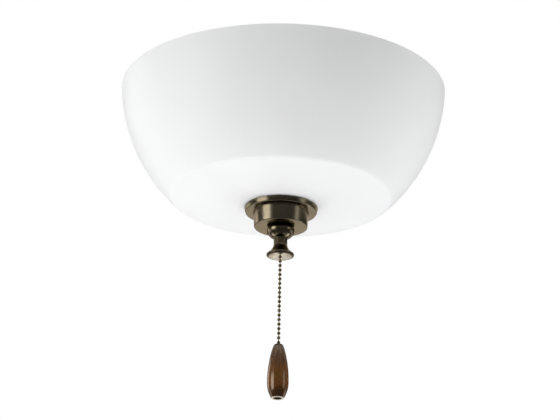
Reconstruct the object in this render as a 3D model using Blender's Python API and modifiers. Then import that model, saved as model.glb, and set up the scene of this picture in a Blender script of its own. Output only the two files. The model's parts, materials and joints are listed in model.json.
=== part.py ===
"""Ceiling fan light kit: an open glass bowl clamped on a central rod, with a pull chain through its finial.

Metres, +Z up. The origin is the centre of the fitter pan's top face, where the kit meets the fan.
"""

from math import acos, cos, pi, radians, sin, sqrt, tan

import bmesh
import bpy
from mathutils import Matrix, Vector

# Clearances between neighbours
GAP = 0.0003
OVERRUN = 0.002

# Smoothness of turned pieces
BOWL_STEPS = 44
LARGE_STEPS = 32
MEDIUM_STEPS = 18
SMALL_STEPS = 10
BEAD_STEPS = 8
HIDDEN_BEAD_STEPS = 6

# Glass bowl
RIM_DROP = 0.034
RIM_RADIUS = 0.1525
GLASS_THICKNESS = 0.004
WALL_ARC_RADIUS = 0.1573
WALL_TOP_ANGLE = radians(2.7)
WALL_END_ANGLE = radians(46.3)
SHOULDER_ARC_RADIUS = 0.0087
SHOULDER_END_ANGLE = radians(79.0)
GLASS_SEAT_RADIUS = 0.024
GLASS_HOLE_RADIUS = 0.006

# Threaded pipe that carries everything
PIPE_RADIUS = 0.00485
PIPE_BORE_RADIUS = 0.0031
PIPE_CLEARANCE = 0.0003
PIPE_NUT_FLATS = 0.0158
PIPE_NUT_HEIGHT = 0.0032
NUT_CHAMFER = 0.0005
NIPPLE_ABOVE_PAN = 0.009
NIPPLE_BELOW_PAN = 0.0085
ROD_ABOVE_NUT = 0.0012

# Fitter pan and its cover plate
PAN_RADIUS = 0.060
PAN_HEIGHT = 0.0292
PAN_WALL = 0.0012
PAN_CORNER = 0.005
PLATE_THICKNESS = 0.0012
PLATE_SCREW_INSET = 0.0075
PLATE_SCREW_ANGLES = (radians(50), radians(230))

# Machine screws
SCREW_RADIUS = 0.0017
SCREW_HEAD_RADIUS = 0.0036
SCREW_HEAD_HEIGHT = 0.0020
SCREW_SLOT_WIDTH = 0.0009
SCREW_SLOT_DEPTH = 0.0009

# Pull chain switch
SWITCH_LENGTH = 0.018
SWITCH_WIDTH = 0.014
SWITCH_HEIGHT = 0.014
SWITCH_BEVEL = 0.0012
SWITCH_NECK_RADIUS = 0.0042
SWITCH_NECK_BELOW_NUT = 0.003
SWITCH_NUT_RADIUS = 0.0070
SWITCH_NUT_HEIGHT = 0.0025

# Socket hub, a six-sided tapered cup with a brim
HUB_TOP_APOTHEM = 0.0270
HUB_HEIGHT = 0.036
HUB_WALL = 0.0015
HUB_BRIM_RADIUS = 0.038
HUB_SCREW_CIRCLE = 0.0342
HUB_SCREW_ANGLES = (radians(90), radians(210), radians(330))
HUB_SCREW_REACH = 0.003
ARM_TILT = radians(15)
ARM_ANGLES = (radians(30), radians(150), radians(270))

# Lamp socket, measured outwards from the hub's flat
ARM_NIPPLE_OUT = 0.0095
ARM_NIPPLE_IN = 0.0062
SOCKET_RADIUS = 0.018
SOCKET_NECK_RADIUS = 0.0105
SOCKET_LENGTH = 0.044
SOCKET_FLOOR = 0.0125
SOCKET_WALL = 0.0016
INSULATOR_THICKNESS = 0.0055
SHELL_WALL = 0.0007
SHELL_LENGTH = 0.024
SHELL_LIP = 0.004
CONTACT_RADIUS = 0.0040
CONTACT_THICKNESS = 0.0010

# Lamp
LAMP_THREAD_RADIUS = 0.0130
LAMP_THREAD_CLEARANCE = 0.0005
LAMP_TIP_RADIUS = 0.0048
LAMP_TIP_HEIGHT = 0.0015
LAMP_TAPER_HEIGHT = 0.0050
LAMP_BASE_LENGTH = 0.0265
LAMP_NECK_RADIUS = 0.0118
LAMP_NECK_LENGTH = 0.012
LAMP_GLOBE_RADIUS = 0.0238
LAMP_SHORT_OF_RIM = 0.0905

# Leads and wire connectors
LEAD_RADIUS = 0.0012
LEAD_HOLE_CLEARANCE = 0.0009
LEAD_CIRCLE = 0.0170
LEAD_IN_CONNECTOR = 0.006
CONNECTOR_RADIUS = 0.0050
CONNECTOR_TIP_RADIUS = 0.0033
CONNECTOR_HEIGHT = 0.0150
CONNECTOR_ABOVE_PLATE = 0.0045
CONNECTOR_BORE_DEPTH = 0.0080

# Clamp stack in the bowl
GASKET_RADIUS = 0.0180
GASKET_THICKNESS = 0.0020
WASHER_RADIUS = 0.0190
WASHER_THICKNESS = 0.0014

# Stepped cap below the bowl
CAP_RIM_RADIUS = 0.0343
CAP_FLANGE_RADIUS = 0.0331
CAP_FLANGE_HEIGHT = 0.0046
CAP_STEP_RADIUS = 0.0259
CAP_BOTTOM_RADIUS = 0.0247
CAP_DROP = 0.0146
CAP_WALL = 0.0012
CAP_EDGE = 0.0009
CAP_RING_WIDTH = 0.0058

# Finial
BALL_RADIUS = 0.0129
BALL_TOP_RADIUS = 0.0098
BALL_RISE = 0.0022
BALL_FALL = 0.0085
NECK_RADIUS = 0.0063
NECK_LENGTH = 0.0052
FLARE_HEIGHT = 0.0098
LIP_RADIUS = 0.01275
LIP_BULGE = 0.00035
LIP_RISE = 0.0012
LIP_FALL = 0.0013
LIP_ROUND = 0.0022
DISH_DEPTH = 0.0034
FINIAL_THREAD_DEPTH = 0.0120
CHAIN_HOLE_RADIUS = 0.0024

# Ball chain
BEAD_RADIUS = 0.0016
BEAD_PITCH = 0.004373
LINK_RADIUS = 0.00045
FIRST_BEAD_BELOW_LIP = 0.0044
PENDANT_BEAD_COUNT = 19
SWITCH_BEAD_COUNT = 2
SWING_BEAD_COUNT = 4
CHAIN_TOP_IN_NECK = 0.0040

# Wooden fob
FOB_LENGTH = 0.0509
FOB_RADIUS = 0.0098
FOB_TOP_RADIUS = 0.0037
FOB_BOTTOM_RADIUS = 0.0057
FOB_WIDEST_SHARE = 0.68
FOB_TOP_FULLNESS_SHARE = 0.72
FOB_BOTTOM_FULLNESS_SHARE = 0.75
FOB_PASSAGE_CLEARANCE = 0.0005
FOB_POCKET_RADIUS = 0.0037
FOB_POCKET_DEPTH = 0.0115
STOP_RADIUS = 0.0030
STOP_LENGTH = 0.0075

PART_NAME = "ceiling_fan_light_kit"

# Colour, roughness and metallic value of each finish
FINISHES = {
    "bronze": ((0.140, 0.115, 0.078, 1.0), 0.24, 1.0),
    "opal_glass": ((0.93, 0.93, 0.92, 1.0), 0.38, 0.0),
    "zinc_steel": ((0.58, 0.57, 0.54, 1.0), 0.34, 1.0),
    "brass": ((0.60, 0.43, 0.20, 1.0), 0.30, 1.0),
    "chain_brass": ((0.36, 0.25, 0.12, 1.0), 0.32, 1.0),
    "rubber": ((0.035, 0.034, 0.033, 1.0), 0.75, 0.0),
    "phenolic": ((0.045, 0.040, 0.036, 1.0), 0.42, 0.0),
    "ceramic": ((0.86, 0.85, 0.80, 1.0), 0.30, 0.0),
    "lamp_glass": ((0.94, 0.94, 0.93, 1.0), 0.35, 0.0),
    "lamp_metal": ((0.74, 0.73, 0.71, 1.0), 0.28, 1.0),
    "lead_jacket": ((0.80, 0.80, 0.77, 1.0), 0.55, 0.0),
    "connector_plastic": ((0.78, 0.42, 0.10, 1.0), 0.45, 0.0),
    "walnut": ((0.095, 0.042, 0.019, 1.0), 0.26, 0.0),
}


def clear_scene():
    for old in list(bpy.data.objects):
        bpy.data.objects.remove(old, do_unlink=True)


def new_collection(name):
    collection = bpy.data.collections.new(name)
    bpy.context.scene.collection.children.link(collection)
    return collection


def make_material(name):
    colour, roughness, metallic = FINISHES[name]
    material = bpy.data.materials.new(name)
    material.use_nodes = True
    shader = material.node_tree.nodes["Principled BSDF"]
    shader.inputs["Base Color"].default_value = colour
    shader.inputs["Roughness"].default_value = roughness
    shader.inputs["Metallic"].default_value = metallic
    material.diffuse_color = colour
    return material


clear_scene()
PARTS = new_collection(PART_NAME)
CUTTERS = new_collection("cutters")
MATERIALS = {name: make_material(name) for name in FINISHES}


def add_object(name, data, finish, parent=None):
    """A named part in its own finish, placed in its parent's frame."""
    part = bpy.data.objects.new(name, data)
    PARTS.objects.link(part)
    data.materials.append(MATERIALS[finish])
    part.parent = parent
    return part


def add_cutter(name, data, parent=None):
    cutter = bpy.data.objects.new(name, data)
    CUTTERS.objects.link(cutter)
    cutter.hide_render = True
    cutter.display_type = "WIRE"
    cutter.parent = parent
    return cutter


def add_empty(name, location, rotation=(0, 0, 0), parent=None):
    empty = bpy.data.objects.new(name, None)
    PARTS.objects.link(empty)
    empty.location = location
    empty.rotation_euler = rotation
    empty.parent = parent
    return empty


def boolean(part, cutter, operation="DIFFERENCE"):
    modifier = part.modifiers.new(cutter.name, "BOOLEAN")
    modifier.operation = operation
    modifier.object = cutter
    modifier.solver = "EXACT"


def profile_mesh(name, points, closed):
    """Points (radius, z) at +X as a line of edges for a Screw modifier."""
    mesh = bpy.data.meshes.new(name)
    verts = [(r, 0, z) for r, z in points]
    edges = [(i, i + 1) for i in range(len(points) - 1)]
    if closed:
        edges.append((len(points) - 1, 0))
    mesh.from_pydata(verts, edges, [])
    return mesh


def add_screw(part, steps):
    screw = part.modifiers.new("turn", "SCREW")
    screw.axis = "Z"
    screw.steps = steps
    screw.render_steps = steps
    screw.use_merge_vertices = True
    screw.merge_threshold = 0.00001
    screw.use_smooth_shade = True


def turned(name, points, steps, finish, closed=True, parent=None):
    """A turned piece: the profile runs down its outer side, top to bottom."""
    part = add_object(name, profile_mesh(name, points, closed), finish, parent)
    add_screw(part, steps)
    return part


def turned_cutter(name, points, steps, parent=None):
    cutter = add_cutter(name, profile_mesh(name, points, False), parent)
    add_screw(cutter, steps)
    return cutter


def cylinder_cutter(name, radius, low, high, location=(0, 0), steps=SMALL_STEPS, parent=None):
    """A plain cylinder along Z between two heights."""
    points = [(0, high), (radius, high), (radius, low), (0, low)]
    cutter = turned_cutter(name, points, steps, parent)
    cutter.location = (*location, 0)
    return cutter


def ring(inner, outer, low, high):
    """Closed profile of a plain ring, running down its outer side."""
    return [(inner, high), (outer, high), (outer, low), (inner, low)]


def arc(centre, radius, start, end, count):
    """Points on a circle in the profile plane, with angles from +radius towards +z."""
    points = []
    for i in range(count + 1):
        angle = start + (end - start) * i / count
        points.append((centre[0] + radius * cos(angle), centre[1] + radius * sin(angle)))
    return points


def ellipse_arc(centre, width, height, start, end, count):
    points = []
    for i in range(count + 1):
        angle = start + (end - start) * i / count
        points.append((centre[0] + width * cos(angle), centre[1] + height * sin(angle)))
    return points


def on_circle(radius, angle):
    return (radius * cos(angle), radius * sin(angle))


def bowl_outline():
    """Outer profile of the glass from its rim to its hole: wall arc, shoulder arc, shallow dome, flat seat."""
    points = []
    r, z = RIM_RADIUS, -RIM_DROP
    start = WALL_TOP_ANGLE
    for radius, end, count in (
        (WALL_ARC_RADIUS, WALL_END_ANGLE, 7),
        (SHOULDER_ARC_RADIUS, SHOULDER_END_ANGLE, 3),
    ):
        for i in range(count + 1):
            angle = start + (end - start) * i / count
            point = (r - radius * (cos(start) - cos(angle)), z - radius * (sin(angle) - sin(start)))
            if not points or i > 0:
                points.append(point)
        r, z = points[-1]
        start = end
    dome_radius = r / cos(SHOULDER_END_ANGLE)
    dome_centre_z = z + dome_radius * sin(SHOULDER_END_ANGLE)
    seat_angle = acos(GLASS_SEAT_RADIUS / dome_radius)
    dome_count = 3
    for i in range(1, dome_count + 1):
        angle = SHOULDER_END_ANGLE + (seat_angle - SHOULDER_END_ANGLE) * i / dome_count
        points.append((dome_radius * cos(angle), dome_centre_z - dome_radius * sin(angle)))
    seat_z = points[-1][1]
    points.append((GLASS_HOLE_RADIUS, seat_z))
    return points, dome_radius, dome_centre_z, seat_z


BOWL_POINTS, DOME_RADIUS, DOME_CENTRE_Z, SEAT_Z = bowl_outline()


def dome_z(radius):
    """Height of the glass's outer face on its dome."""
    return DOME_CENTRE_Z - sqrt(DOME_RADIUS**2 - radius**2)


# Heights that follow from the sizes
PLATE_TOP_Z = -(PAN_HEIGHT - PLATE_THICKNESS)
PLATE_BOTTOM_Z = -PAN_HEIGHT
PLATE_SCREW_CIRCLE = PAN_RADIUS - PLATE_SCREW_INSET
HUB_TOP_Z = PLATE_BOTTOM_Z - GAP
HUB_BOTTOM_Z = HUB_TOP_Z - HUB_HEIGHT
HUB_BOTTOM_APOTHEM = HUB_TOP_APOTHEM - HUB_HEIGHT * tan(ARM_TILT)
ARM_FLAT_Z = (HUB_TOP_Z + HUB_BOTTOM_Z) / 2
ARM_FLAT_RADIUS = (HUB_TOP_APOTHEM + HUB_BOTTOM_APOTHEM) / 2
LAMP_GLASS_LENGTH = RIM_RADIUS - LAMP_SHORT_OF_RIM
PIPE_HOLE_RADIUS = PIPE_RADIUS + PIPE_CLEARANCE
CAP_RIM_LEAN = (CAP_RIM_RADIUS - CAP_FLANGE_RADIUS) / CAP_FLANGE_HEIGHT
CAP_TOP_Z = dome_z(CAP_RIM_RADIUS) - GAP - CAP_WALL * CAP_RIM_LEAN
CAP_STEP_Z = CAP_TOP_Z - CAP_FLANGE_HEIGHT
CAP_BOTTOM_Z = CAP_STEP_Z - CAP_DROP
FINIAL_TOP_Z = CAP_BOTTOM_Z - GAP
BALL_MIDDLE_Z = FINIAL_TOP_Z - BALL_RISE
NECK_TOP_Z = BALL_MIDDLE_Z - BALL_FALL
FLARE_TOP_Z = NECK_TOP_Z - NECK_LENGTH
LIP_TOP_Z = FLARE_TOP_Z - FLARE_HEIGHT
LIP_MIDDLE_Z = LIP_TOP_Z - LIP_RISE
LIP_BOTTOM_Z = LIP_MIDDLE_Z - LIP_FALL
FIRST_BEAD_Z = LIP_BOTTOM_Z - FIRST_BEAD_BELOW_LIP
FOB_TOP_Z = FIRST_BEAD_Z - (PENDANT_BEAD_COUNT - 1) * BEAD_PITCH - BEAD_RADIUS - 2 * GAP
FOB_BOTTOM_Z = FOB_TOP_Z - FOB_LENGTH
FOB_PASSAGE_RADIUS = BEAD_RADIUS + FOB_PASSAGE_CLEARANCE


def hex_nut(name, flats, height, hole, top_z, finish, parent=None):
    """A six-sided nut with chamfered edges and a plain bore, hanging down from top_z."""
    mesh = bpy.data.meshes.new(name)
    shape = bmesh.new()
    corner = flats / 2 / cos(pi / 6)
    bmesh.ops.create_cone(shape, cap_ends=True, segments=6, radius1=corner, radius2=corner, depth=height)
    bmesh.ops.translate(shape, verts=shape.verts, vec=(0, 0, top_z - height / 2))
    shape.to_mesh(mesh)
    shape.free()
    nut = add_object(name, mesh, finish, parent)
    bevel = nut.modifiers.new("chamfer", "BEVEL")
    bevel.width = NUT_CHAMFER
    bevel.segments = 1
    hole_low = top_z - height - OVERRUN
    boolean(nut, cylinder_cutter(name + "_bore", hole, hole_low, top_z + OVERRUN, parent=parent))
    return nut


def machine_screw(name, centre, head_top_z, tip_z):
    """A slotted pan head screw driven upwards from below."""
    head_low = head_top_z - SCREW_HEAD_HEIGHT
    crown = SCREW_HEAD_HEIGHT / 2
    points = [(0, tip_z), (SCREW_RADIUS, tip_z), (SCREW_RADIUS, head_top_z), (SCREW_HEAD_RADIUS, head_top_z)]
    points += ellipse_arc((0, head_low + crown), SCREW_HEAD_RADIUS, crown, 0, -pi / 2, 3)
    screw = turned(name, points, SMALL_STEPS, "zinc_steel", closed=False)
    screw.location = (*centre, 0)
    slot = bpy.data.meshes.new(name + "_slot")
    shape = bmesh.new()
    bmesh.ops.create_cube(shape, size=1)
    size = (2 * SCREW_HEAD_RADIUS + OVERRUN, SCREW_SLOT_WIDTH, 2 * SCREW_SLOT_DEPTH)
    bmesh.ops.scale(shape, verts=shape.verts, vec=size)
    bmesh.ops.translate(shape, verts=shape.verts, vec=(0, 0, head_low))
    shape.to_mesh(slot)
    shape.free()
    cutter = add_cutter(name + "_slot", slot)
    cutter.location = (*centre, 0)
    boolean(screw, cutter)
    return screw


def make_fitter_pan():
    """Spun steel pan, open below, whose top face bolts up to the fan."""
    outer = [(PIPE_HOLE_RADIUS, 0)]
    outer += arc((PAN_RADIUS - PAN_CORNER, -PAN_CORNER), PAN_CORNER, pi / 2, 0, 3)
    outer.append((PAN_RADIUS, -PAN_HEIGHT))
    inner_corner = PAN_CORNER - PAN_WALL
    inner = [(PAN_RADIUS - PAN_WALL, -PAN_HEIGHT)]
    inner += arc((PAN_RADIUS - PAN_CORNER, -PAN_CORNER), inner_corner, 0, pi / 2, 3)
    inner.append((PIPE_HOLE_RADIUS, -PAN_WALL))
    pan = turned("fitter_pan", outer + inner, LARGE_STEPS, "bronze")
    for i, angle in enumerate(PLATE_SCREW_ANGLES):
        place = on_circle(PLATE_SCREW_CIRCLE, angle)
        hole = SCREW_RADIUS + GAP
        boolean(pan, cylinder_cutter(f"pan_screw_hole_{i + 1}", hole, -PAN_WALL - OVERRUN, OVERRUN, place))


def make_top_fixing():
    """Hollow nipple that screws into the fan, with its locknut under the pan's top wall."""
    points = ring(PIPE_BORE_RADIUS, PIPE_RADIUS, -NIPPLE_BELOW_PAN, NIPPLE_ABOVE_PAN)
    turned("top_nipple", points, SMALL_STEPS, "zinc_steel")
    hex_nut("top_locknut", PIPE_NUT_FLATS, PIPE_NUT_HEIGHT, PIPE_HOLE_RADIUS, -PAN_WALL - GAP, "zinc_steel")


def make_cover_plate():
    """Round plate that closes the pan and carries the switch and the socket hub."""
    hole = SWITCH_NECK_RADIUS + GAP
    points = ring(hole, PAN_RADIUS - PAN_WALL - GAP, PLATE_BOTTOM_Z, PLATE_TOP_Z)
    plate = turned("cover_plate", points, LARGE_STEPS, "bronze")
    low, high = PLATE_BOTTOM_Z - OVERRUN, PLATE_TOP_Z + OVERRUN
    for i, angle in enumerate(PLATE_SCREW_ANGLES):
        place = on_circle(PLATE_SCREW_CIRCLE, angle)
        boolean(plate, cylinder_cutter(f"plate_screw_hole_{i + 1}", SCREW_RADIUS + GAP, low, high, place))
        machine_screw(f"plate_screw_{i + 1}", place, PLATE_BOTTOM_Z - GAP, -GAP)
    for i, angle in enumerate(HUB_SCREW_ANGLES):
        place = on_circle(HUB_SCREW_CIRCLE, angle)
        boolean(plate, cylinder_cutter(f"plate_hub_hole_{i + 1}", SCREW_RADIUS + GAP, low, high, place))
    for i, angle in enumerate(ARM_ANGLES):
        place = on_circle(LEAD_CIRCLE, angle)
        hole = LEAD_RADIUS + LEAD_HOLE_CLEARANCE
        boolean(plate, cylinder_cutter(f"plate_lead_hole_{i + 1}", hole, low, high, place))


def make_pull_switch():
    """Switch body on the plate, with a hollow threaded neck held by a round nut below."""
    low = PLATE_TOP_Z + GAP
    nut_top = PLATE_BOTTOM_Z - GAP
    neck_low = nut_top - SWITCH_NUT_HEIGHT - SWITCH_NECK_BELOW_NUT
    mesh = bpy.data.meshes.new("pull_switch")
    shape = bmesh.new()
    bmesh.ops.create_cube(shape, size=1)
    bmesh.ops.scale(shape, verts=shape.verts, vec=(SWITCH_LENGTH, SWITCH_WIDTH, SWITCH_HEIGHT))
    bmesh.ops.translate(shape, verts=shape.verts, vec=(0, 0, low + SWITCH_HEIGHT / 2))
    shape.to_mesh(mesh)
    shape.free()
    switch = add_object("pull_switch", mesh, "phenolic")
    bevel = switch.modifiers.new("edges", "BEVEL")
    bevel.width = SWITCH_BEVEL
    bevel.segments = 2
    middle = low + SWITCH_HEIGHT / 2
    boolean(switch, cylinder_cutter("switch_neck", SWITCH_NECK_RADIUS, neck_low, middle), "UNION")
    bore = cylinder_cutter("switch_bore", FOB_PASSAGE_RADIUS, neck_low - OVERRUN, middle)
    boolean(switch, bore)
    points = ring(SWITCH_NECK_RADIUS + GAP, SWITCH_NUT_RADIUS, nut_top - SWITCH_NUT_HEIGHT, nut_top)
    turned("switch_nut", points, MEDIUM_STEPS, "zinc_steel")
    return neck_low


def hub_solid(name, inset, top_z, floor_z, add):
    """Six-sided tapered plug whose flats tilt with the arms, drawn in by an inset across its flats."""
    slope = tan(ARM_TILT)
    top = (HUB_TOP_APOTHEM + (top_z - HUB_TOP_Z) * slope - inset / cos(ARM_TILT)) / cos(pi / 6)
    low = (HUB_TOP_APOTHEM + (floor_z - HUB_TOP_Z) * slope - inset / cos(ARM_TILT)) / cos(pi / 6)
    mesh = bpy.data.meshes.new(name)
    shape = bmesh.new()
    bmesh.ops.create_cone(shape, cap_ends=True, segments=6, radius1=low, radius2=top, depth=top_z - floor_z)
    bmesh.ops.translate(shape, verts=shape.verts, vec=(0, 0, (top_z + floor_z) / 2))
    bmesh.ops.rotate(shape, verts=shape.verts, cent=(0, 0, 0), matrix=Matrix.Rotation(pi / 6, 3, "Z"))
    shape.to_mesh(mesh)
    shape.free()
    return add(name, mesh)


def make_hub():
    """Socket hub: a hollow six-sided cup with a round brim, three arm holes and a rod hole."""
    hub = hub_solid("socket_hub", 0, HUB_TOP_Z, HUB_BOTTOM_Z, lambda n, m: add_object(n, m, "bronze"))
    brim = cylinder_cutter("hub_brim", HUB_BRIM_RADIUS, HUB_TOP_Z - HUB_WALL, HUB_TOP_Z, steps=LARGE_STEPS)
    boolean(hub, brim, "UNION")
    inside = hub_solid("hub_inside", HUB_WALL, HUB_TOP_Z + OVERRUN, HUB_BOTTOM_Z + HUB_WALL, add_cutter)
    boolean(hub, inside)
    low, high = HUB_BOTTOM_Z - OVERRUN, HUB_BOTTOM_Z + HUB_WALL + OVERRUN
    boolean(hub, cylinder_cutter("hub_rod_hole", PIPE_HOLE_RADIUS, low, high))
    for i, angle in enumerate(HUB_SCREW_ANGLES):
        place = on_circle(HUB_SCREW_CIRCLE, angle)
        brim_low = HUB_TOP_Z - HUB_WALL
        low, high = brim_low - OVERRUN, HUB_TOP_Z + OVERRUN
        boolean(hub, cylinder_cutter(f"hub_screw_hole_{i + 1}", SCREW_RADIUS + GAP, low, high, place))
        machine_screw(f"hub_screw_{i + 1}", place, brim_low - GAP, PLATE_TOP_Z + HUB_SCREW_REACH)
    return hub


def socket_profile(floor, mouth):
    """Bell-backed socket body, open at its mouth, bored for its nipple behind."""
    shoulder = floor - SOCKET_WALL
    cavity = SOCKET_RADIUS - SOCKET_WALL
    points = [(cavity, mouth), (SOCKET_RADIUS, mouth), (SOCKET_RADIUS, floor)]
    bell = SOCKET_RADIUS - SOCKET_NECK_RADIUS
    points += ellipse_arc((SOCKET_NECK_RADIUS, floor), bell, shoulder / 2, 0, -pi / 2, 3)[1:]
    points += [(SOCKET_NECK_RADIUS, GAP), (PIPE_HOLE_RADIUS, GAP), (PIPE_HOLE_RADIUS, floor), (cavity, floor)]
    return points


def lamp_base_profile(tip):
    """Screw base of the lamp, from its tip contact to its rolled mouth."""
    taper_top = tip + LAMP_TIP_HEIGHT + LAMP_TAPER_HEIGHT
    mouth = tip + LAMP_BASE_LENGTH
    return [
        (0, mouth),
        (LAMP_THREAD_RADIUS, mouth),
        (LAMP_THREAD_RADIUS, taper_top),
        (LAMP_TIP_RADIUS, tip + LAMP_TIP_HEIGHT),
        (LAMP_TIP_RADIUS, tip),
        (0, tip),
    ]


def lamp_glass_profile(low):
    """Frosted envelope: a round globe that runs into a straight neck."""
    globe_z = low + LAMP_GLASS_LENGTH - LAMP_GLOBE_RADIUS
    neck_top = low + LAMP_NECK_LENGTH
    rise = globe_z - neck_top
    reach = LAMP_GLOBE_RADIUS - LAMP_NECK_RADIUS
    points = [(0, low + LAMP_GLASS_LENGTH)]
    points += arc((0, globe_z), LAMP_GLOBE_RADIUS, pi / 2, 0, 7)[1:]
    for i in range(1, 6):
        share = i / 5
        ease = (1 - cos(pi * share)) / 2
        points.append((LAMP_GLOBE_RADIUS - reach * ease, globe_z - rise * share))
    points += [(LAMP_NECK_RADIUS, low), (0, low)]
    return points


def lead_route(angle):
    """Centre line of one lead: out of its socket, along the nipple, up through the plate into its connector."""
    out = Vector((cos(ARM_TILT), -sin(ARM_TILT)))
    flat = Vector((ARM_FLAT_RADIUS, ARM_FLAT_Z))
    up_z = PLATE_TOP_Z + CONNECTOR_ABOVE_PLATE + LEAD_IN_CONNECTOR
    inner = flat - out * (HUB_WALL + ARM_NIPPLE_IN + 2 * LEAD_RADIUS)
    bend = LEAD_CIRCLE - inner.x
    guide = [
        flat + out * (SOCKET_FLOOR - LEAD_RADIUS),
        flat + out * (SOCKET_FLOOR / 3),
        flat - out * (ARM_NIPPLE_IN / 2),
        inner,
        Vector((inner.x - bend / 4, inner.y + bend)),
        Vector((LEAD_CIRCLE - bend / 4, (inner.y + HUB_TOP_Z) / 2 + bend / 2)),
        Vector((LEAD_CIRCLE, HUB_TOP_Z - LEAD_RADIUS)),
        Vector((LEAD_CIRCLE, PLATE_TOP_Z + LEAD_RADIUS)),
        Vector((LEAD_CIRCLE, up_z)),
    ]
    route = smooth_route(guide, 2)
    return [(p.x * cos(angle), p.x * sin(angle), p.y) for p in route]


def smooth_route(guide, count):
    """Points read from a smooth curve through the guide points."""
    ends = [2 * guide[0] - guide[1]] + guide + [2 * guide[-1] - guide[-2]]
    route = []
    for i in range(1, len(ends) - 2):
        a, b, c, d = ends[i - 1 : i + 3]
        for step in range(count):
            t = step / count
            point = 2 * b + (c - a) * t + (2 * a - 5 * b + 4 * c - d) * t**2 + (3 * b - a - 3 * c + d) * t**3
            route.append(point / 2)
    route.append(guide[-1])
    return route


def tube(name, points, radius, finish):
    """A round tube along a line of points, closed at both ends."""
    curve = bpy.data.curves.new(name, "CURVE")
    curve.dimensions = "3D"
    curve.bevel_depth = radius
    curve.bevel_resolution = 2
    curve.use_fill_caps = True
    spline = curve.splines.new("POLY")
    spline.points.add(len(points) - 1)
    for target, point in zip(spline.points, points):
        target.co = (*point, 1)
    return add_object(name, curve, finish)


def make_arm(number, angle, hub):
    """One lamp holder: nipple, nut, socket, its electrical parts, its lamp, its lead and connector."""
    x, y = on_circle(ARM_FLAT_RADIUS, angle)
    arm = add_empty(f"arm_{number}", (x, y, ARM_FLAT_Z), (0, pi / 2 + ARM_TILT, angle))
    nipple_low = -(HUB_WALL + ARM_NIPPLE_IN)
    hole = cylinder_cutter(f"arm_hole_{number}", PIPE_HOLE_RADIUS, -HUB_WALL - OVERRUN, OVERRUN, parent=arm)
    boolean(hub, hole)
    points = ring(PIPE_BORE_RADIUS, PIPE_RADIUS, nipple_low, ARM_NIPPLE_OUT)
    turned(f"arm_nipple_{number}", points, SMALL_STEPS, "zinc_steel", parent=arm)
    nut_top = -HUB_WALL - GAP
    hex_nut(f"arm_nut_{number}", PIPE_NUT_FLATS, PIPE_NUT_HEIGHT, PIPE_HOLE_RADIUS, nut_top, "zinc_steel", arm)

    body = socket_profile(SOCKET_FLOOR, SOCKET_LENGTH)
    turned(f"socket_body_{number}", body, MEDIUM_STEPS, "phenolic", parent=arm)
    insulator_low = SOCKET_FLOOR + GAP
    insulator_top = insulator_low + INSULATOR_THICKNESS
    cavity = SOCKET_RADIUS - SOCKET_WALL - GAP
    disc = [(0, insulator_top), (cavity, insulator_top), (cavity, insulator_low), (0, insulator_low)]
    turned(f"socket_insulator_{number}", disc, MEDIUM_STEPS, "ceramic", closed=False, parent=arm)
    shell_inner = LAMP_THREAD_RADIUS + LAMP_THREAD_CLEARANCE
    shell_outer = shell_inner + SHELL_WALL
    shell_low = insulator_top + GAP
    shell_top = shell_low + SHELL_LENGTH
    lip = shell_inner - SHELL_LIP
    shell = [
        (shell_inner, shell_top),
        (shell_outer, shell_top),
        (shell_outer, shell_low),
        (lip, shell_low),
        (lip, shell_low + SHELL_WALL),
        (shell_inner, shell_low + SHELL_WALL),
    ]
    turned(f"socket_shell_{number}", shell, MEDIUM_STEPS, "brass", parent=arm)
    contact_top = shell_low + CONTACT_THICKNESS
    contact = [(0, contact_top), (CONTACT_RADIUS, contact_top), (CONTACT_RADIUS, shell_low), (0, shell_low)]
    turned(f"socket_contact_{number}", contact, SMALL_STEPS, "brass", closed=False, parent=arm)

    tip = contact_top + GAP
    turned(f"lamp_base_{number}", lamp_base_profile(tip), MEDIUM_STEPS, "lamp_metal", closed=False, parent=arm)
    glass_low = tip + LAMP_BASE_LENGTH + GAP
    turned(f"lamp_glass_{number}", lamp_glass_profile(glass_low), MEDIUM_STEPS, "lamp_glass", closed=False, parent=arm)

    tube(f"lead_{number}", lead_route(angle), LEAD_RADIUS, "lead_jacket")
    low = PLATE_TOP_Z + CONNECTOR_ABOVE_PLATE
    top = low + CONNECTOR_HEIGHT
    bore = LEAD_RADIUS + GAP
    cone = [
        (0, top),
        (CONNECTOR_TIP_RADIUS, top),
        (CONNECTOR_RADIUS, low),
        (bore, low),
        (bore, low + CONNECTOR_BORE_DEPTH),
        (0, low + CONNECTOR_BORE_DEPTH),
    ]
    connector = turned(f"wire_connector_{number}", cone, SMALL_STEPS, "connector_plastic", closed=False)
    connector.location = (*on_circle(LEAD_CIRCLE, angle), 0)


def make_rod():
    """Long hollow rod from the hub down into the finial, with a nut on each side of the hub's floor."""
    floor_top = HUB_BOTTOM_Z + HUB_WALL
    upper_nut_top = floor_top + GAP + PIPE_NUT_HEIGHT
    rod_top = upper_nut_top + ROD_ABOVE_NUT
    rod_low = FINIAL_TOP_Z - FINIAL_THREAD_DEPTH + GAP
    turned("center_rod", ring(PIPE_BORE_RADIUS, PIPE_RADIUS, rod_low, rod_top), SMALL_STEPS, "zinc_steel")
    hex_nut("rod_nut_upper", PIPE_NUT_FLATS, PIPE_NUT_HEIGHT, PIPE_HOLE_RADIUS, upper_nut_top, "zinc_steel")
    hex_nut("rod_nut_lower", PIPE_NUT_FLATS, PIPE_NUT_HEIGHT, PIPE_HOLE_RADIUS, HUB_BOTTOM_Z - GAP, "zinc_steel")


def make_bowl():
    """Opal glass bowl: an open turned surface thickened inwards, ending at the rod's hole."""
    bowl = turned("glass_bowl", BOWL_POINTS, BOWL_STEPS, "opal_glass", closed=False)
    wall = bowl.modifiers.new("wall", "SOLIDIFY")
    wall.thickness = GLASS_THICKNESS
    wall.offset = -1
    wall.use_even_offset = True


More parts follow.
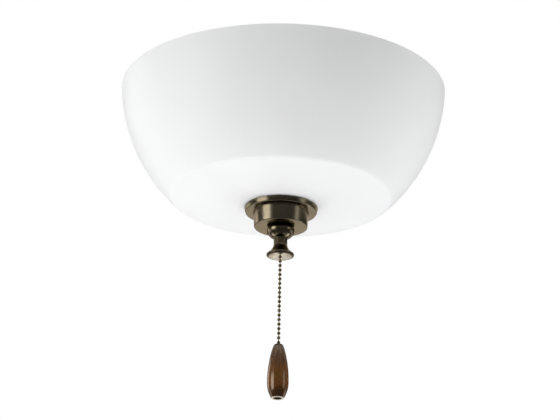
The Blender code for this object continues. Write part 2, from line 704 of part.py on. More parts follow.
def make_clamp_stack():
    """What holds the glass from inside: stop nut, steel washer and rubber gasket on the rod."""
    gasket_low = SEAT_Z + GLASS_THICKNESS + GAP
    gasket_top = gasket_low + GASKET_THICKNESS
    turned("gasket_upper", ring(PIPE_HOLE_RADIUS, GASKET_RADIUS, gasket_low, gasket_top), MEDIUM_STEPS, "rubber")
    washer_low = gasket_top + GAP
    washer_top = washer_low + WASHER_THICKNESS
    turned("steel_washer", ring(PIPE_HOLE_RADIUS, WASHER_RADIUS, washer_low, washer_top), MEDIUM_STEPS, "zinc_steel")
    nut_top = washer_top + GAP + PIPE_NUT_HEIGHT
    hex_nut("stop_nut", PIPE_NUT_FLATS, PIPE_NUT_HEIGHT, PIPE_HOLE_RADIUS, nut_top, "zinc_steel")


def cap_outline():
    """Outer profile of the cap: tapered flange, flat step, tapered drum with a rounded foot."""
    edge = CAP_EDGE
    points = [(CAP_RIM_RADIUS, CAP_TOP_Z)]
    points += arc((CAP_FLANGE_RADIUS - edge, CAP_STEP_Z + edge), edge, 0, -pi / 2, 2)
    points.append((CAP_STEP_RADIUS, CAP_STEP_Z))
    points += arc((CAP_BOTTOM_RADIUS - edge, CAP_BOTTOM_Z + edge), edge, 0, -pi / 2, 2)
    points.append((PIPE_HOLE_RADIUS, CAP_BOTTOM_Z))
    return points


def make_cap():
    """Spun cap under the glass, with the rubber ring that it presses on the glass."""
    cap = turned("bowl_cap", cap_outline(), LARGE_STEPS, "bronze", closed=False)
    wall = cap.modifiers.new("wall", "SOLIDIFY")
    wall.thickness = CAP_WALL
    wall.offset = -1
    wall.use_even_offset = True
    outer = CAP_FLANGE_RADIUS - CAP_EDGE - CAP_WALL - GAP
    inner = outer - CAP_RING_WIDTH
    top = dome_z(inner) - GAP
    turned("gasket_lower", ring(inner, outer, CAP_STEP_Z + CAP_WALL + GAP, top), LARGE_STEPS, "rubber")


def finial_outline():
    """Closed profile of the finial: ball, neck and trumpet flare outside, dish and stepped bore inside."""
    ball_lean = acos(BALL_TOP_RADIUS / BALL_RADIUS)
    rise = BALL_RISE / sin(ball_lean)
    points = [(BALL_TOP_RADIUS, FINIAL_TOP_Z)]
    points += ellipse_arc((0, BALL_MIDDLE_Z), BALL_RADIUS, rise, ball_lean, 0, 3)[1:]
    neck_lean = -acos(NECK_RADIUS / BALL_RADIUS)
    fall = BALL_FALL / sin(-neck_lean)
    points += ellipse_arc((0, BALL_MIDDLE_Z), BALL_RADIUS, fall, 0, neck_lean, 5)[1:]
    points.append((NECK_RADIUS, FLARE_TOP_Z))
    flare_edge = LIP_RADIUS - LIP_BULGE
    for i in range(1, 6):
        share = i / 5
        radius = NECK_RADIUS + (flare_edge - NECK_RADIUS) * share**2
        points.append((radius, FLARE_TOP_Z - FLARE_HEIGHT * share))
    points += ellipse_arc((flare_edge, LIP_MIDDLE_Z), LIP_BULGE, LIP_RISE, pi / 2, 0, 2)[1:]
    dish_edge = LIP_RADIUS - LIP_ROUND
    points += ellipse_arc((dish_edge, LIP_MIDDLE_Z), LIP_ROUND, LIP_FALL, 0, -pi / 2, 3)[1:-1]
    span = dish_edge - CHAIN_HOLE_RADIUS
    for i in range(5):
        share = i / 4
        points.append((dish_edge - span * share, LIP_BOTTOM_Z + DISH_DEPTH * sin(pi / 2 * share)))
    socket_floor = FINIAL_TOP_Z - FINIAL_THREAD_DEPTH
    points += [(CHAIN_HOLE_RADIUS, socket_floor), (PIPE_HOLE_RADIUS, socket_floor), (PIPE_HOLE_RADIUS, FINIAL_TOP_Z)]
    return points


def make_finial():
    turned("finial", finial_outline(), MEDIUM_STEPS, "bronze")


def bead_outline(centre_z, count):
    """One bead of the chain as an arc that runs down from link to link."""
    lean = acos(LINK_RADIUS / BEAD_RADIUS)
    return arc((0, centre_z), BEAD_RADIUS, lean, -lean, count)


def bead_run(name, bead_heights, top_z, low_z, steps, hidden=()):
    """A stretch of ball chain as one turned piece with link stubs at both ends; hidden beads are plainer."""
    points = [(0, top_z), (LINK_RADIUS, top_z)]
    for height in bead_heights:
        points += bead_outline(height, 4)
    for height in hidden:
        points += bead_outline(height, 2)
    points += [(LINK_RADIUS, low_z), (0, low_z)]
    return turned(name, points, steps, "chain_brass", closed=False)


def pivot_below(bead):
    """Height of the link's middle under the bead of this number, which counts from one."""
    return FIRST_BEAD_Z - (bead - 0.5) * BEAD_PITCH


def bead_z(bead):
    return FIRST_BEAD_Z - (bead - 1) * BEAD_PITCH


def make_chain(neck_low):
    """The chain: a straight stretch from the switch through the rod, then short stretches that swing."""
    stub = BEAD_PITCH / 2 - BEAD_RADIUS - GAP
    limit = neck_low + CHAIN_TOP_IN_NECK
    above = int((limit - FIRST_BEAD_Z) / BEAD_PITCH)
    heights = [bead_z(1 - i) for i in range(above, 0, -1)]
    heights += [bead_z(i + 1) for i in range(SWITCH_BEAD_COUNT)]
    top = heights[0] + BEAD_PITCH / 2
    low = pivot_below(SWITCH_BEAD_COUNT) - stub
    bead_run("switch_chain", [], top, low, HIDDEN_BEAD_STEPS, heights)

    stretches = int((PENDANT_BEAD_COUNT - SWITCH_BEAD_COUNT) / SWING_BEAD_COUNT)
    first = SWITCH_BEAD_COUNT + 1
    for i in range(stretches):
        last = first + SWING_BEAD_COUNT - 1
        top = bead_z(first) + BEAD_RADIUS - GAP
        if i < stretches - 1:
            heights = [bead_z(b) for b in range(first, last + 1)]
            bead_run(f"chain_stretch_{i + 1}", heights, top, pivot_below(last) - stub, BEAD_STEPS)
        else:
            make_fob_chain(f"chain_stretch_{i + 1}", first, top)
        first = last + 1


def make_fob_chain(name, first, top):
    """Last stretch: its visible beads, the beads inside the fob, and the crimped stop under them."""
    pocket_z = FOB_BOTTOM_Z + FOB_POCKET_DEPTH
    visible = [bead_z(b) for b in range(first, PENDANT_BEAD_COUNT + 1)]
    hidden_count = int((FOB_TOP_Z - pocket_z) / BEAD_PITCH)
    hidden = [bead_z(PENDANT_BEAD_COUNT + 1 + i) for i in range(hidden_count)]
    low = pocket_z - GAP
    bead_run(name, visible, top, low + GAP / 2, BEAD_STEPS, hidden)
    stop_top = low - GAP / 2
    crown = STOP_RADIUS / 2
    stop = [(0, stop_top), (crown, stop_top)]
    stop += arc((crown, stop_top - crown), crown, pi / 2, 0, 3)[1:]
    stop += [(STOP_RADIUS, stop_top - STOP_LENGTH), (0, stop_top - STOP_LENGTH)]
    turned("chain_stop", stop, SMALL_STEPS, "brass", closed=False)


def fob_outline():
    """Closed profile of the teardrop fob, with its chain passage and the pocket in its foot."""
    widest_z = FOB_TOP_Z - FOB_LENGTH * FOB_WIDEST_SHARE
    points = []
    upper, lower = 8, 7
    for i in range(upper + 1):
        share = i / upper
        swell = sin(pi / 2 * share) ** FOB_TOP_FULLNESS_SHARE if share else 0
        radius = FOB_TOP_RADIUS + (FOB_RADIUS - FOB_TOP_RADIUS) * swell
        points.append((radius, FOB_TOP_Z + (widest_z - FOB_TOP_Z) * share))
    for i in range(1, lower + 1):
        share = i / lower
        fall = (1 - cos(pi / 2 * share)) ** (1 / FOB_BOTTOM_FULLNESS_SHARE)
        radius = FOB_RADIUS - (FOB_RADIUS - FOB_BOTTOM_RADIUS) * fall
        points.append((radius, widest_z + (FOB_BOTTOM_Z - widest_z) * share))
    pocket_z = FOB_BOTTOM_Z + FOB_POCKET_DEPTH
    points += [(FOB_POCKET_RADIUS, FOB_BOTTOM_Z), (FOB_POCKET_RADIUS, pocket_z), (FOB_PASSAGE_RADIUS, pocket_z)]
    points.append((FOB_PASSAGE_RADIUS, FOB_TOP_Z))
    return points


def make_fob():
    turned("pull_fob", fob_outline(), MEDIUM_STEPS, "walnut")


def main():
    make_fitter_pan()
    make_top_fixing()
    make_cover_plate()
    neck_low = make_pull_switch()
    hub = make_hub()
    for number, angle in enumerate(ARM_ANGLES, 1):
        make_arm(number, angle, hub)
    make_rod()
    make_bowl()
    make_clamp_stack()
    make_cap()
    make_finial()
    make_chain(neck_low)
    make_fob()


main()
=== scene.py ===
"""Looks for the ceiling fan light kit: finer turned pieces, procedural finishes, a plain studio and the camera."""

import json
from math import acos, cos, pi, radians, sin, sqrt, tan

import bmesh
import bpy
from mathutils import Euler, Matrix, Vector


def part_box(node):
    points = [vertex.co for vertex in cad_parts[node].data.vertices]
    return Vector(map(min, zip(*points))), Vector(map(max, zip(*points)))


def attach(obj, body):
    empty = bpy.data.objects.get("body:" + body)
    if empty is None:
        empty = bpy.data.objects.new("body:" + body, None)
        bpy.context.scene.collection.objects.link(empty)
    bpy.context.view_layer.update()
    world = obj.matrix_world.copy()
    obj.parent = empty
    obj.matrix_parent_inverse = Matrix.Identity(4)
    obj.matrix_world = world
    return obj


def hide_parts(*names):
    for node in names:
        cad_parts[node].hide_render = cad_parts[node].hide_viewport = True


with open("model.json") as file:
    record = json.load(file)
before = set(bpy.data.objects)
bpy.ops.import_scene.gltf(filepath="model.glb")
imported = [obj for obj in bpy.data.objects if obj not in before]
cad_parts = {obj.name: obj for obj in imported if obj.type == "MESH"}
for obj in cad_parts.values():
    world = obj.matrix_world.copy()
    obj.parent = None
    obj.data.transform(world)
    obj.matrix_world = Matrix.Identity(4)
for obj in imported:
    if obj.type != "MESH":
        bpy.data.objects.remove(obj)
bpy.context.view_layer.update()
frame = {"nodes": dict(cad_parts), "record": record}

# Sizes shared with the CAD source, in metres
GAP = 0.0003
RIM_DROP = 0.034
RIM_RADIUS = 0.1525
GLASS_THICKNESS = 0.004
WALL_ARC_RADIUS = 0.1573
WALL_TOP_ANGLE = radians(2.7)
WALL_END_ANGLE = radians(46.3)
SHOULDER_ARC_RADIUS = 0.0087
SHOULDER_END_ANGLE = radians(79.0)
GLASS_SEAT_RADIUS = 0.024
GLASS_HOLE_RADIUS = 0.006
RIM_ROUND = 0.0017
PIPE_RADIUS = 0.00485
PIPE_BORE_RADIUS = 0.0031
PIPE_HOLE_RADIUS = 0.00515
PIPE_PITCH = 0.0009407
PIPE_NUT_FLATS = 0.0158
PIPE_NUT_HEIGHT = 0.0032
PAN_RADIUS = 0.060
PAN_HEIGHT = 0.0292
PAN_WALL = 0.0012
PAN_CORNER = 0.005
PLATE_THICKNESS = 0.0012
HUB_TOP_APOTHEM = 0.0270
HUB_HEIGHT = 0.036
HUB_WALL = 0.0015
ARM_TILT = radians(15)
ARM_ANGLES = (radians(30), radians(150), radians(270))
ARM_NIPPLE_OUT = 0.0095
SOCKET_RADIUS = 0.018
SOCKET_NECK_RADIUS = 0.0105
SOCKET_LENGTH = 0.044
SOCKET_FLOOR = 0.0125
SOCKET_WALL = 0.0016
INSULATOR_THICKNESS = 0.0055
SHELL_WALL = 0.0007
SHELL_LENGTH = 0.024
CONTACT_THICKNESS = 0.0010
LAMP_THREAD_RADIUS = 0.0130
LAMP_BASE_LENGTH = 0.0265
LAMP_NECK_RADIUS = 0.0118
LAMP_NECK_LENGTH = 0.012
LAMP_GLOBE_RADIUS = 0.0238
LAMP_GLASS_LENGTH = 0.062
GASKET_RADIUS = 0.0180
WASHER_RADIUS = 0.0190
CAP_RIM_RADIUS = 0.0343
CAP_FLANGE_RADIUS = 0.0331
CAP_FLANGE_HEIGHT = 0.0046
CAP_STEP_RADIUS = 0.0259
CAP_BOTTOM_RADIUS = 0.0247
CAP_DROP = 0.0146
CAP_WALL = 0.0012
CAP_EDGE = 0.0009
CAP_RING_WIDTH = 0.0058
BALL_RADIUS = 0.0129
BALL_TOP_RADIUS = 0.0098
BALL_RISE = 0.0022
BALL_FALL = 0.0085
NECK_RADIUS = 0.0063
NECK_LENGTH = 0.0052
FLARE_HEIGHT = 0.0098
LIP_RADIUS = 0.01275
LIP_BULGE = 0.00035
LIP_RISE = 0.0012
LIP_FALL = 0.0013
LIP_ROUND = 0.0022
DISH_DEPTH = 0.0034
FINIAL_THREAD_DEPTH = 0.0120
CHAIN_HOLE_RADIUS = 0.0024
BEAD_RADIUS = 0.0016
BEAD_PITCH = 0.004373
LINK_RADIUS = 0.00045
FIRST_BEAD_BELOW_LIP = 0.0044
PENDANT_BEADS = 19
FOB_LENGTH = 0.0509
FOB_RADIUS = 0.0098
FOB_TOP_RADIUS = 0.0037
FOB_BOTTOM_RADIUS = 0.0057
FOB_WIDEST_SHARE = 0.68
FOB_TOP_FULLNESS = 0.72
FOB_BOTTOM_FULLNESS = 0.75
FOB_PASSAGE_RADIUS = 0.0021
FOB_POCKET_RADIUS = 0.0037
FOB_POCKET_DEPTH = 0.0115


# Profiles
def shares(count, first=0):
    """Numbers up to 1 in equal steps."""
    return [i / count for i in range(first, count + 1)]


def arc(centre, radius, start, end, count, height=None):
    """Points on a circle or an ellipse in the profile plane."""
    height = radius if height is None else height
    points = []
    for i in range(count + 1):
        angle = start + (end - start) * i / count
        points.append((centre[0] + radius * cos(angle), centre[1] + height * sin(angle)))
    return points


SAME_PLACE = 1e-6
NO_LENGTH = 1e-7
LEAST_CORNER = radians(20)


def rounded(points, radius, closed=True, count=4):
    """A profile with its corners rounded to a radius, or to a radius for each point."""
    total = len(points)
    radii = radius if isinstance(radius, list) else [radius] * total
    result = []
    for i, point in enumerate(points):
        if not closed and i in (0, total - 1):
            result.append(point)
            continue
        here = Vector(point)
        before, after = Vector(points[i - 1]) - here, Vector(points[(i + 1) % total]) - here
        turn = pi - before.angle(after, pi)
        if turn < LEAST_CORNER or min(before.length, after.length) < NO_LENGTH:
            result.append(point)
            continue
        reach = min(radii[i] * tan(turn / 2), 0.45 * before.length, 0.45 * after.length)
        bend = reach / tan(turn / 2)
        first = here + before.normalized() * reach
        middle = here + (before.normalized() + after.normalized()).normalized() * (bend / cos(turn / 2))
        start = first - middle
        side = 1 if before.x * after.y - before.y * after.x < 0 else -1
        for step in range(count + 1):
            spin = side * turn * step / count
            x = start.x * cos(spin) - start.y * sin(spin)
            y = start.x * sin(spin) + start.y * cos(spin)
            result.append((middle.x + x, middle.y + y))
    return result


def bowl_arcs(wall_steps=64, shoulder_steps=10, dome_steps=36):
    """Outer profile of the glass from its rim to its seat, with the angle of its normal at each point."""
    points = []
    r, z = RIM_RADIUS, -RIM_DROP
    start = WALL_TOP_ANGLE
    for radius, end, count in (
        (WALL_ARC_RADIUS, WALL_END_ANGLE, wall_steps),
        (SHOULDER_ARC_RADIUS, SHOULDER_END_ANGLE, shoulder_steps),
    ):
        for i in range(1 if points else 0, count + 1):
            angle = start + (end - start) * i / count
            points.append((r - radius * (cos(start) - cos(angle)), z - radius * (sin(angle) - sin(start)), angle))
        r, z = points[-1][:2]
        start = end
    dome_radius = r / cos(SHOULDER_END_ANGLE)
    centre_z = z + dome_radius * sin(SHOULDER_END_ANGLE)
    seat_angle = acos(GLASS_SEAT_RADIUS / dome_radius)
    for i in range(1, dome_steps + 1):
        angle = SHOULDER_END_ANGLE + (seat_angle - SHOULDER_END_ANGLE) * i / dome_steps
        points.append((dome_radius * cos(angle), centre_z - dome_radius * sin(angle), angle))
    return points, dome_radius, centre_z


BOWL, DOME_RADIUS, DOME_CENTRE_Z = bowl_arcs()
SEAT_Z = BOWL[-1][1]


def dome_z(radius):
    return DOME_CENTRE_Z - sqrt(DOME_RADIUS**2 - radius**2)


PLATE_TOP_Z = PLATE_THICKNESS - PAN_HEIGHT
PLATE_BOTTOM_Z = -PAN_HEIGHT
HUB_TOP_Z = PLATE_BOTTOM_Z - GAP
HUB_BOTTOM_Z = HUB_TOP_Z - HUB_HEIGHT
HUB_BOTTOM_APOTHEM = HUB_TOP_APOTHEM - HUB_HEIGHT * tan(ARM_TILT)
ARM_FLAT_Z = (HUB_TOP_Z + HUB_BOTTOM_Z) / 2
ARM_FLAT_RADIUS = (HUB_TOP_APOTHEM + HUB_BOTTOM_APOTHEM) / 2
CAP_RIM_LEAN = (CAP_RIM_RADIUS - CAP_FLANGE_RADIUS) / CAP_FLANGE_HEIGHT
CAP_TOP_Z = dome_z(CAP_RIM_RADIUS) - GAP - CAP_WALL * CAP_RIM_LEAN
CAP_STEP_Z = CAP_TOP_Z - CAP_FLANGE_HEIGHT
CAP_BOTTOM_Z = CAP_STEP_Z - CAP_DROP
FINIAL_TOP_Z = CAP_BOTTOM_Z - GAP
BALL_MIDDLE_Z = FINIAL_TOP_Z - BALL_RISE
NECK_TOP_Z = BALL_MIDDLE_Z - BALL_FALL
FLARE_TOP_Z = NECK_TOP_Z - NECK_LENGTH
LIP_TOP_Z = FLARE_TOP_Z - FLARE_HEIGHT
LIP_MIDDLE_Z = LIP_TOP_Z - LIP_RISE
LIP_BOTTOM_Z = LIP_MIDDLE_Z - LIP_FALL
FIRST_BEAD_Z = LIP_BOTTOM_Z - FIRST_BEAD_BELOW_LIP
FOB_TOP_Z = FIRST_BEAD_Z - (PENDANT_BEADS - 1) * BEAD_PITCH - BEAD_RADIUS - 2 * GAP
FOB_BOTTOM_Z = FOB_TOP_Z - FOB_LENGTH


# Node helpers
class Nodes:
    """Short calls for building the node tree of a material or of the world."""

    def __init__(self, owner):
        owner.use_nodes = True
        self.tree = owner.node_tree
        self.shader = self.tree.nodes.get("Principled BSDF")

    def add(self, kind, values=None, **settings):
        node = self.tree.nodes.new("ShaderNode" + kind)
        for key, value in settings.items():
            setattr(node, key, value)
        for key, value in (values or {}).items():
            self.put(node, key, value)
        return node

    def put(self, node, key, value):
        """Links a node's input, or sets it; a colour is opaque."""
        socket = node.inputs[key]
        if isinstance(value, bpy.types.NodeSocket):
            self.tree.links.new(value, socket)
        else:
            socket.default_value = (*value, 1.0) if socket.type == "RGBA" else value

    def set(self, **values):
        for key, value in values.items():
            self.put(self.shader, key.replace("_", " "), value)

    def place(self, scale=(1, 1, 1)):
        """Object coordinates, stretched by a scale."""
        coordinates = self.add("TexCoord").outputs["Object"]
        return self.add("Mapping", {"Vector": coordinates, "Scale": scale}).outputs["Vector"]

    def reach_and_height(self):
        """How far a point lies from the upright axis, and how high."""
        x, y, z = self.add("SeparateXYZ", {0: self.place()}).outputs[:3]
        return self.math("SQRT", self.math("ADD", self.math("POWER", x, 2.0), self.math("POWER", y, 2.0))), z

    def noise(self, scale, detail, roughness, vector=None, distortion=0.0):
        vector = vector or self.place()
        values = {"Vector": vector, "Scale": scale, "Detail": detail, "Roughness": roughness, "Distortion": distortion}
        return self.add("TexNoise", values).outputs["Fac"]

    def ramp(self, factor, stops):
        """Colours or numbers spread over 0..1."""
        node = self.add("ValToRGB", {"Fac": factor})
        while len(node.color_ramp.elements) < len(stops):
            node.color_ramp.elements.new(1.0)
        for element, (position, value) in zip(node.color_ramp.elements, stops):
            element.position = position
            element.color = (*value, 1.0) if isinstance(value, tuple) else (value, value, value, 1.0)
        return node.outputs["Color"]

    def mix(self, factor, first, second, blend="MIX"):
        values = {0: factor, 6: first, 7: second}
        return self.add("Mix", values, data_type="RGBA", blend_type=blend).outputs[2]

    def multiply(self, first, second):
        return self.mix(1.0, first, second, "MULTIPLY")

    def product(self, first, *others):
        for value in others:
            first = self.math("MULTIPLY", first, value)
        return first

    def math(self, operation, *values):
        return self.add("Math", dict(enumerate(values)), operation=operation).outputs[0]

    def share(self, value, start, end):
        """How far a value has come from start to end, from 0 to 1."""
        return self.add("MapRange", {0: value, 1: start, 2: end}).outputs[0]

    def seen_ray(self):
        """1 for what the camera, a mirror or clear glass shows, 0 for light on other things."""
        path = self.add("LightPath").outputs
        mirrored = self.math("MAXIMUM", path["Is Glossy Ray"], path["Is Transmission Ray"])
        return self.math("MAXIMUM", path["Is Camera Ray"], mirrored)

    def bump(self, height, distance, strength):
        node = self.add("Bump", {"Height": height, "Distance": distance, "Strength": strength})
        self.put(self.shader, "Normal", node.outputs["Normal"])


def new_material(name):
    material = bpy.data.materials.new(name)
    return material, Nodes(material)


WHITE = (1.0, 1.0, 1.0)
BRONZE_PATINA = [(0.32, (0.124, 0.104, 0.070)), (0.50, (0.150, 0.126, 0.085)), (0.68, (0.180, 0.151, 0.103))]
BRONZE_TINT = (1.0, 0.90, 0.76)
# Painted shade: factor that darkens the finial's neck between ball and flare
NECK_PAINTED_SHADE = (0.52, 0.50, 0.46)
# Painted shade: near-black colour on the underside of the lip's rim
UNDER_LIP_PAINTED_SHADE = (0.040, 0.032, 0.023)
# Painted highlight: light bare-metal colour in the downward faces of the finial's dish
DISH_PAINTED_HIGHLIGHT = (0.62, 0.55, 0.46)
DISH_ROUGHNESS = (0.5, 0.5, 0.5)
# Fade of the painted shade on the neck, and edge of the painted shade under the lip
PAINTED_SHADE_FADE = 0.0006
PAINTED_SHADE_EDGE = 0.0001
DISH_FACES_DOWN = -0.5


def bronze_finish():
    """Oil rubbed bronze: a patina over warm metal, with painted shade on the finial's neck and on the underside of its
    lip, and a painted highlight in its dish.
    """
    material, n = new_material("aged_bronze")
    patches = n.noise(45.0, 4.0, 0.55)
    fine = n.noise(700.0, 3.0, 0.5)
    spun = n.noise(30.0, 3.0, 0.6, n.place((1, 1, 30)))
    colour = n.ramp(n.math("MULTIPLY_ADD", spun, 0.4, n.product(patches, 0.6)), BRONZE_PATINA)
    reach, height = n.reach_and_height()
    # Painted shade on the neck: the colour is darkened from below the ball down to above the lip
    below_ball = n.share(height, NECK_TOP_Z + 2 * PAINTED_SHADE_FADE, NECK_TOP_Z - PAINTED_SHADE_FADE)
    above_lip = n.share(height, LIP_TOP_Z + PAINTED_SHADE_FADE, LIP_TOP_Z + 5 * PAINTED_SHADE_FADE)
    recess = n.mix(n.product(below_ball, above_lip), WHITE, NECK_PAINTED_SHADE)
    lip_inside = LIP_RADIUS - LIP_ROUND
    # Painted shade: the lower half of the lip's rounded rim is near black
    low = n.math("LESS_THAN", height, LIP_MIDDLE_Z - PAINTED_SHADE_EDGE)
    under_lip_painted_shade = n.product(low, n.math("GREATER_THAN", reach, lip_inside))
    colour = n.mix(under_lip_painted_shade, n.multiply(colour, recess), UNDER_LIP_PAINTED_SHADE)
    # Painted highlight: the downward faces inside the lip's dish take a light colour and a rougher finish
    normal = n.add("NewGeometry").outputs["Normal"]
    upward = n.add("SeparateXYZ", {0: normal}).outputs[2]
    limits = ((upward, DISH_FACES_DOWN), (height, LIP_MIDDLE_Z + DISH_DEPTH), (reach, lip_inside))
    dish_painted_highlight = n.product(*[n.math("LESS_THAN", value, limit) for value, limit in limits])
    rough = n.ramp(fine, [(0.3, 0.20), (0.7, 0.25)])
    n.set(Base_Color=n.mix(dish_painted_highlight, colour, DISH_PAINTED_HIGHLIGHT), Metallic=1.0, Specular_Tint=BRONZE_TINT)
    n.set(Roughness=n.mix(dish_painted_highlight, rough, DISH_ROUGHNESS))
    n.bump(n.math("ADD", fine, spun), 0.00001, 0.35)
    return material


def glass_finish():
    """Etched opal glass: milk white body with a satin face and a faint waviness."""
    material, n = new_material("etched_opal_glass")
    broad = n.noise(9.0, 2.0, 0.5)
    grain = n.noise(1600.0, 2.0, 0.5)
    n.set(Base_Color=n.ramp(broad, [(0.35, (0.895, 0.90, 0.905)), (0.65, (0.915, 0.918, 0.92))]))
    n.set(Roughness=n.ramp(grain, [(0.3, 0.42), (0.7, 0.52)]), Specular_IOR_Level=0.35)
    n.set(Subsurface_Weight=0.35, Subsurface_Radius=(1.0, 1.0, 1.0), Subsurface_Scale=0.006)
    n.bump(n.math("MULTIPLY_ADD", grain, 0.1), 0.00004, 0.4)
    return material


# Colour up the fob, by share of its height, darker towards both ends and greyer towards the top; the colours were
# adjusted by comparing renders with the photograph
WALNUT_TONE_BY_HEIGHT = [
    (0.04, (0.046, 0.014, 0.0015)),
    (0.13, (0.080, 0.029, 0.003)),
    (0.22, (0.190, 0.054, 0.006)),
    (0.36, (0.222, 0.083, 0.011)),
    (0.52, (0.222, 0.080, 0.016)),
    (0.66, (0.158, 0.073, 0.033)),
    (0.86, (0.136, 0.080, 0.046)),
    (1.00, (0.060, 0.038, 0.023)),
]
WALNUT_STREAKS = [(0.30, 0.45), (0.45, 0.65), (0.56, 0.82), (0.70, 1.0)]
WALNUT_PORES = [(0.34, (0.80, 0.79, 0.77)), (0.50, WHITE)]
AMBER_LACQUER = (1.0, 0.82, 0.62)
# Painted highlight: light cream ring on the fob's flat foot
FOOT_PAINTED_HIGHLIGHT = (0.50, 0.43, 0.34)
FOOT_PAINTED_HIGHLIGHT_HEIGHT = 0.0005
# Near black for the crown, and painted shade inside the pocket and passage
DARK_CROWN_AND_POCKET_SHADE = (0.010, 0.006, 0.004)
DARK_END_ROUGHNESS = (0.9, 0.9, 0.9)
DARK_END_HEIGHT = 0.0013
POCKET_MARGIN = 0.0002


def walnut_finish():
    """Dark stained walnut under amber lacquer, with grain along the fob, darker towards both ends, a painted highlight
    on its foot, painted shade in its pocket and a near-black crown.
    """
    material, n = new_material("lacquered_walnut")
    figure = n.noise(170.0, 3.0, 0.5, n.place((1, 1, 0.12)), 0.5)
    pores = n.noise(2600.0, 3.0, 0.7, n.place((1, 1, 0.05)))
    reach, height = n.reach_and_height()
    tone_by_height = n.ramp(n.share(height, FOB_BOTTOM_Z, FOB_TOP_Z), WALNUT_TONE_BY_HEIGHT)
    wood = n.multiply(n.multiply(tone_by_height, n.ramp(figure, WALNUT_STREAKS)), n.ramp(pores, WALNUT_PORES))
    # Painted highlight on the foot's bottom face
    foot = n.math("LESS_THAN", height, FOB_BOTTOM_Z + FOOT_PAINTED_HIGHLIGHT_HEIGHT)
    crown = n.math("GREATER_THAN", height, FOB_TOP_Z - DARK_END_HEIGHT)
    # Painted shade inside the pocket and the passage, joined with the near-black crown
    dark = n.math("MAXIMUM", crown, n.math("LESS_THAN", reach, FOB_POCKET_RADIUS + POCKET_MARGIN))
    gloss = n.ramp(figure, [(0.3, 0.15), (0.7, 0.19)])
    n.set(Base_Color=n.mix(dark, n.mix(foot, wood, FOOT_PAINTED_HIGHLIGHT), DARK_CROWN_AND_POCKET_SHADE))
    n.set(Roughness=n.mix(dark, gloss, DARK_END_ROUGHNESS))
    n.set(Specular_IOR_Level=1.0, Specular_Tint=AMBER_LACQUER)
    n.bump(n.noise(70.0, 2.0, 0.5), 0.00002, 0.15)
    return material


def metal_finish(name, dark, light, rough, scale=300.0, stretch=(1, 1, 1)):
    """Plain metal with fine mottling, for plated and brass pieces."""
    material, n = new_material(name)
    mottle = n.noise(scale, 4.0, 0.6, n.place(stretch))
    n.set(Base_Color=n.ramp(mottle, [(0.35, dark), (0.68, light)]), Metallic=1.0)
    n.set(Roughness=n.ramp(mottle, [(0.3, rough[0]), (0.7, rough[1])]))
    n.bump(mottle, 0.00002, 0.4)
    return material


def plain_finish(name, dark, light, rough, scale, depth=0.00003, sheen=0.0):
    """Moulded, glazed or rubber surface with a fine uneven face."""
    material, n = new_material(name)
    grain = n.noise(scale, 4.0, 0.55)
    n.set(Base_Color=n.ramp(grain, [(0.35, dark), (0.65, light)]))
    n.set(Roughness=n.ramp(grain, [(0.3, rough[0]), (0.7, rough[1])]), Sheen_Weight=sheen)
    n.bump(grain, depth, 0.5)
    return material


FINISHES = {"bronze": bronze_finish(), "opal_glass": glass_finish(), "walnut": walnut_finish()}
METALS = {
    "zinc_steel": ("zinc_plate", (0.50, 0.50, 0.49), (0.64, 0.63, 0.60), (0.26, 0.40)),
    "brass": ("bright_brass", (0.52, 0.37, 0.17), (0.68, 0.50, 0.25), (0.22, 0.34)),
    "chain_brass": ("antique_brass", (0.13, 0.095, 0.045), (0.28, 0.205, 0.105), (0.14, 0.24), 700.0),
    "lamp_metal": ("drawn_aluminium", (0.62, 0.61, 0.60), (0.78, 0.77, 0.75), (0.20, 0.32), 400.0, (1, 1, 6)),
}
PLAINS = {
    "rubber": ("black_rubber", (0.028, 0.027, 0.026), (0.045, 0.044, 0.042), (0.65, 0.8), 800.0, 0.00005, 0.1),
    "phenolic": ("black_phenolic", (0.030, 0.027, 0.025), (0.055, 0.049, 0.044), (0.34, 0.46), 260.0),
    "ceramic": ("glazed_ceramic", (0.78, 0.77, 0.73), (0.86, 0.85, 0.81), (0.18, 0.28), 90.0),
    "lamp_glass": ("frosted_lamp_glass", (0.86, 0.86, 0.85), (0.91, 0.91, 0.90), (0.30, 0.42), 1200.0, 0.00002),
    "lead_jacket": ("white_vinyl", (0.72, 0.72, 0.69), (0.80, 0.80, 0.77), (0.45, 0.6), 700.0),
    "connector_plastic": ("orange_plastic", (0.62, 0.27, 0.05), (0.74, 0.36, 0.09), (0.36, 0.5), 400.0),
}
FINISHES.update({slot: metal_finish(*values) for slot, values in METALS.items()})
FINISHES.update({slot: plain_finish(*values) for slot, values in PLAINS.items()})

# The CAD nodes, each of which a finer piece replaces below, take the finish of their slot too
SLOT_OF = {row["node"]: row["material_slot"] for row in frame["record"]["subparts"]}
BODY_OF = {node: body for body, nodes in frame["record"]["behaviour"]["bodies"].items() for node in nodes}
for node_name, node_object in frame["nodes"].items():
    for material_slot in node_object.material_slots:
        material_slot.material = FINISHES[SLOT_OF[node_name]]


# Mesh helpers
THREAD_RUN_OUT = 0.6
THREAD_END_EDGE = 0.0003
PIPE_THREAD_DEPTH = 0.0005
PIPE_NUT_CROWN = 0.0002
PIPE_NUT_SINK = 0.0004
CHAMFER_SLOPE = 0.577
SHARP = radians(40)
PIPE_SHARP = radians(50)
CAST_SHARP = radians(30)
NUT_SHARP = radians(25)


def around(radius, angle):
    return radius * cos(angle), radius * sin(angle)


def flat_ring(inner, outer, low, high):
    return [(inner, high), (outer, high), (outer, low), (inner, low)]


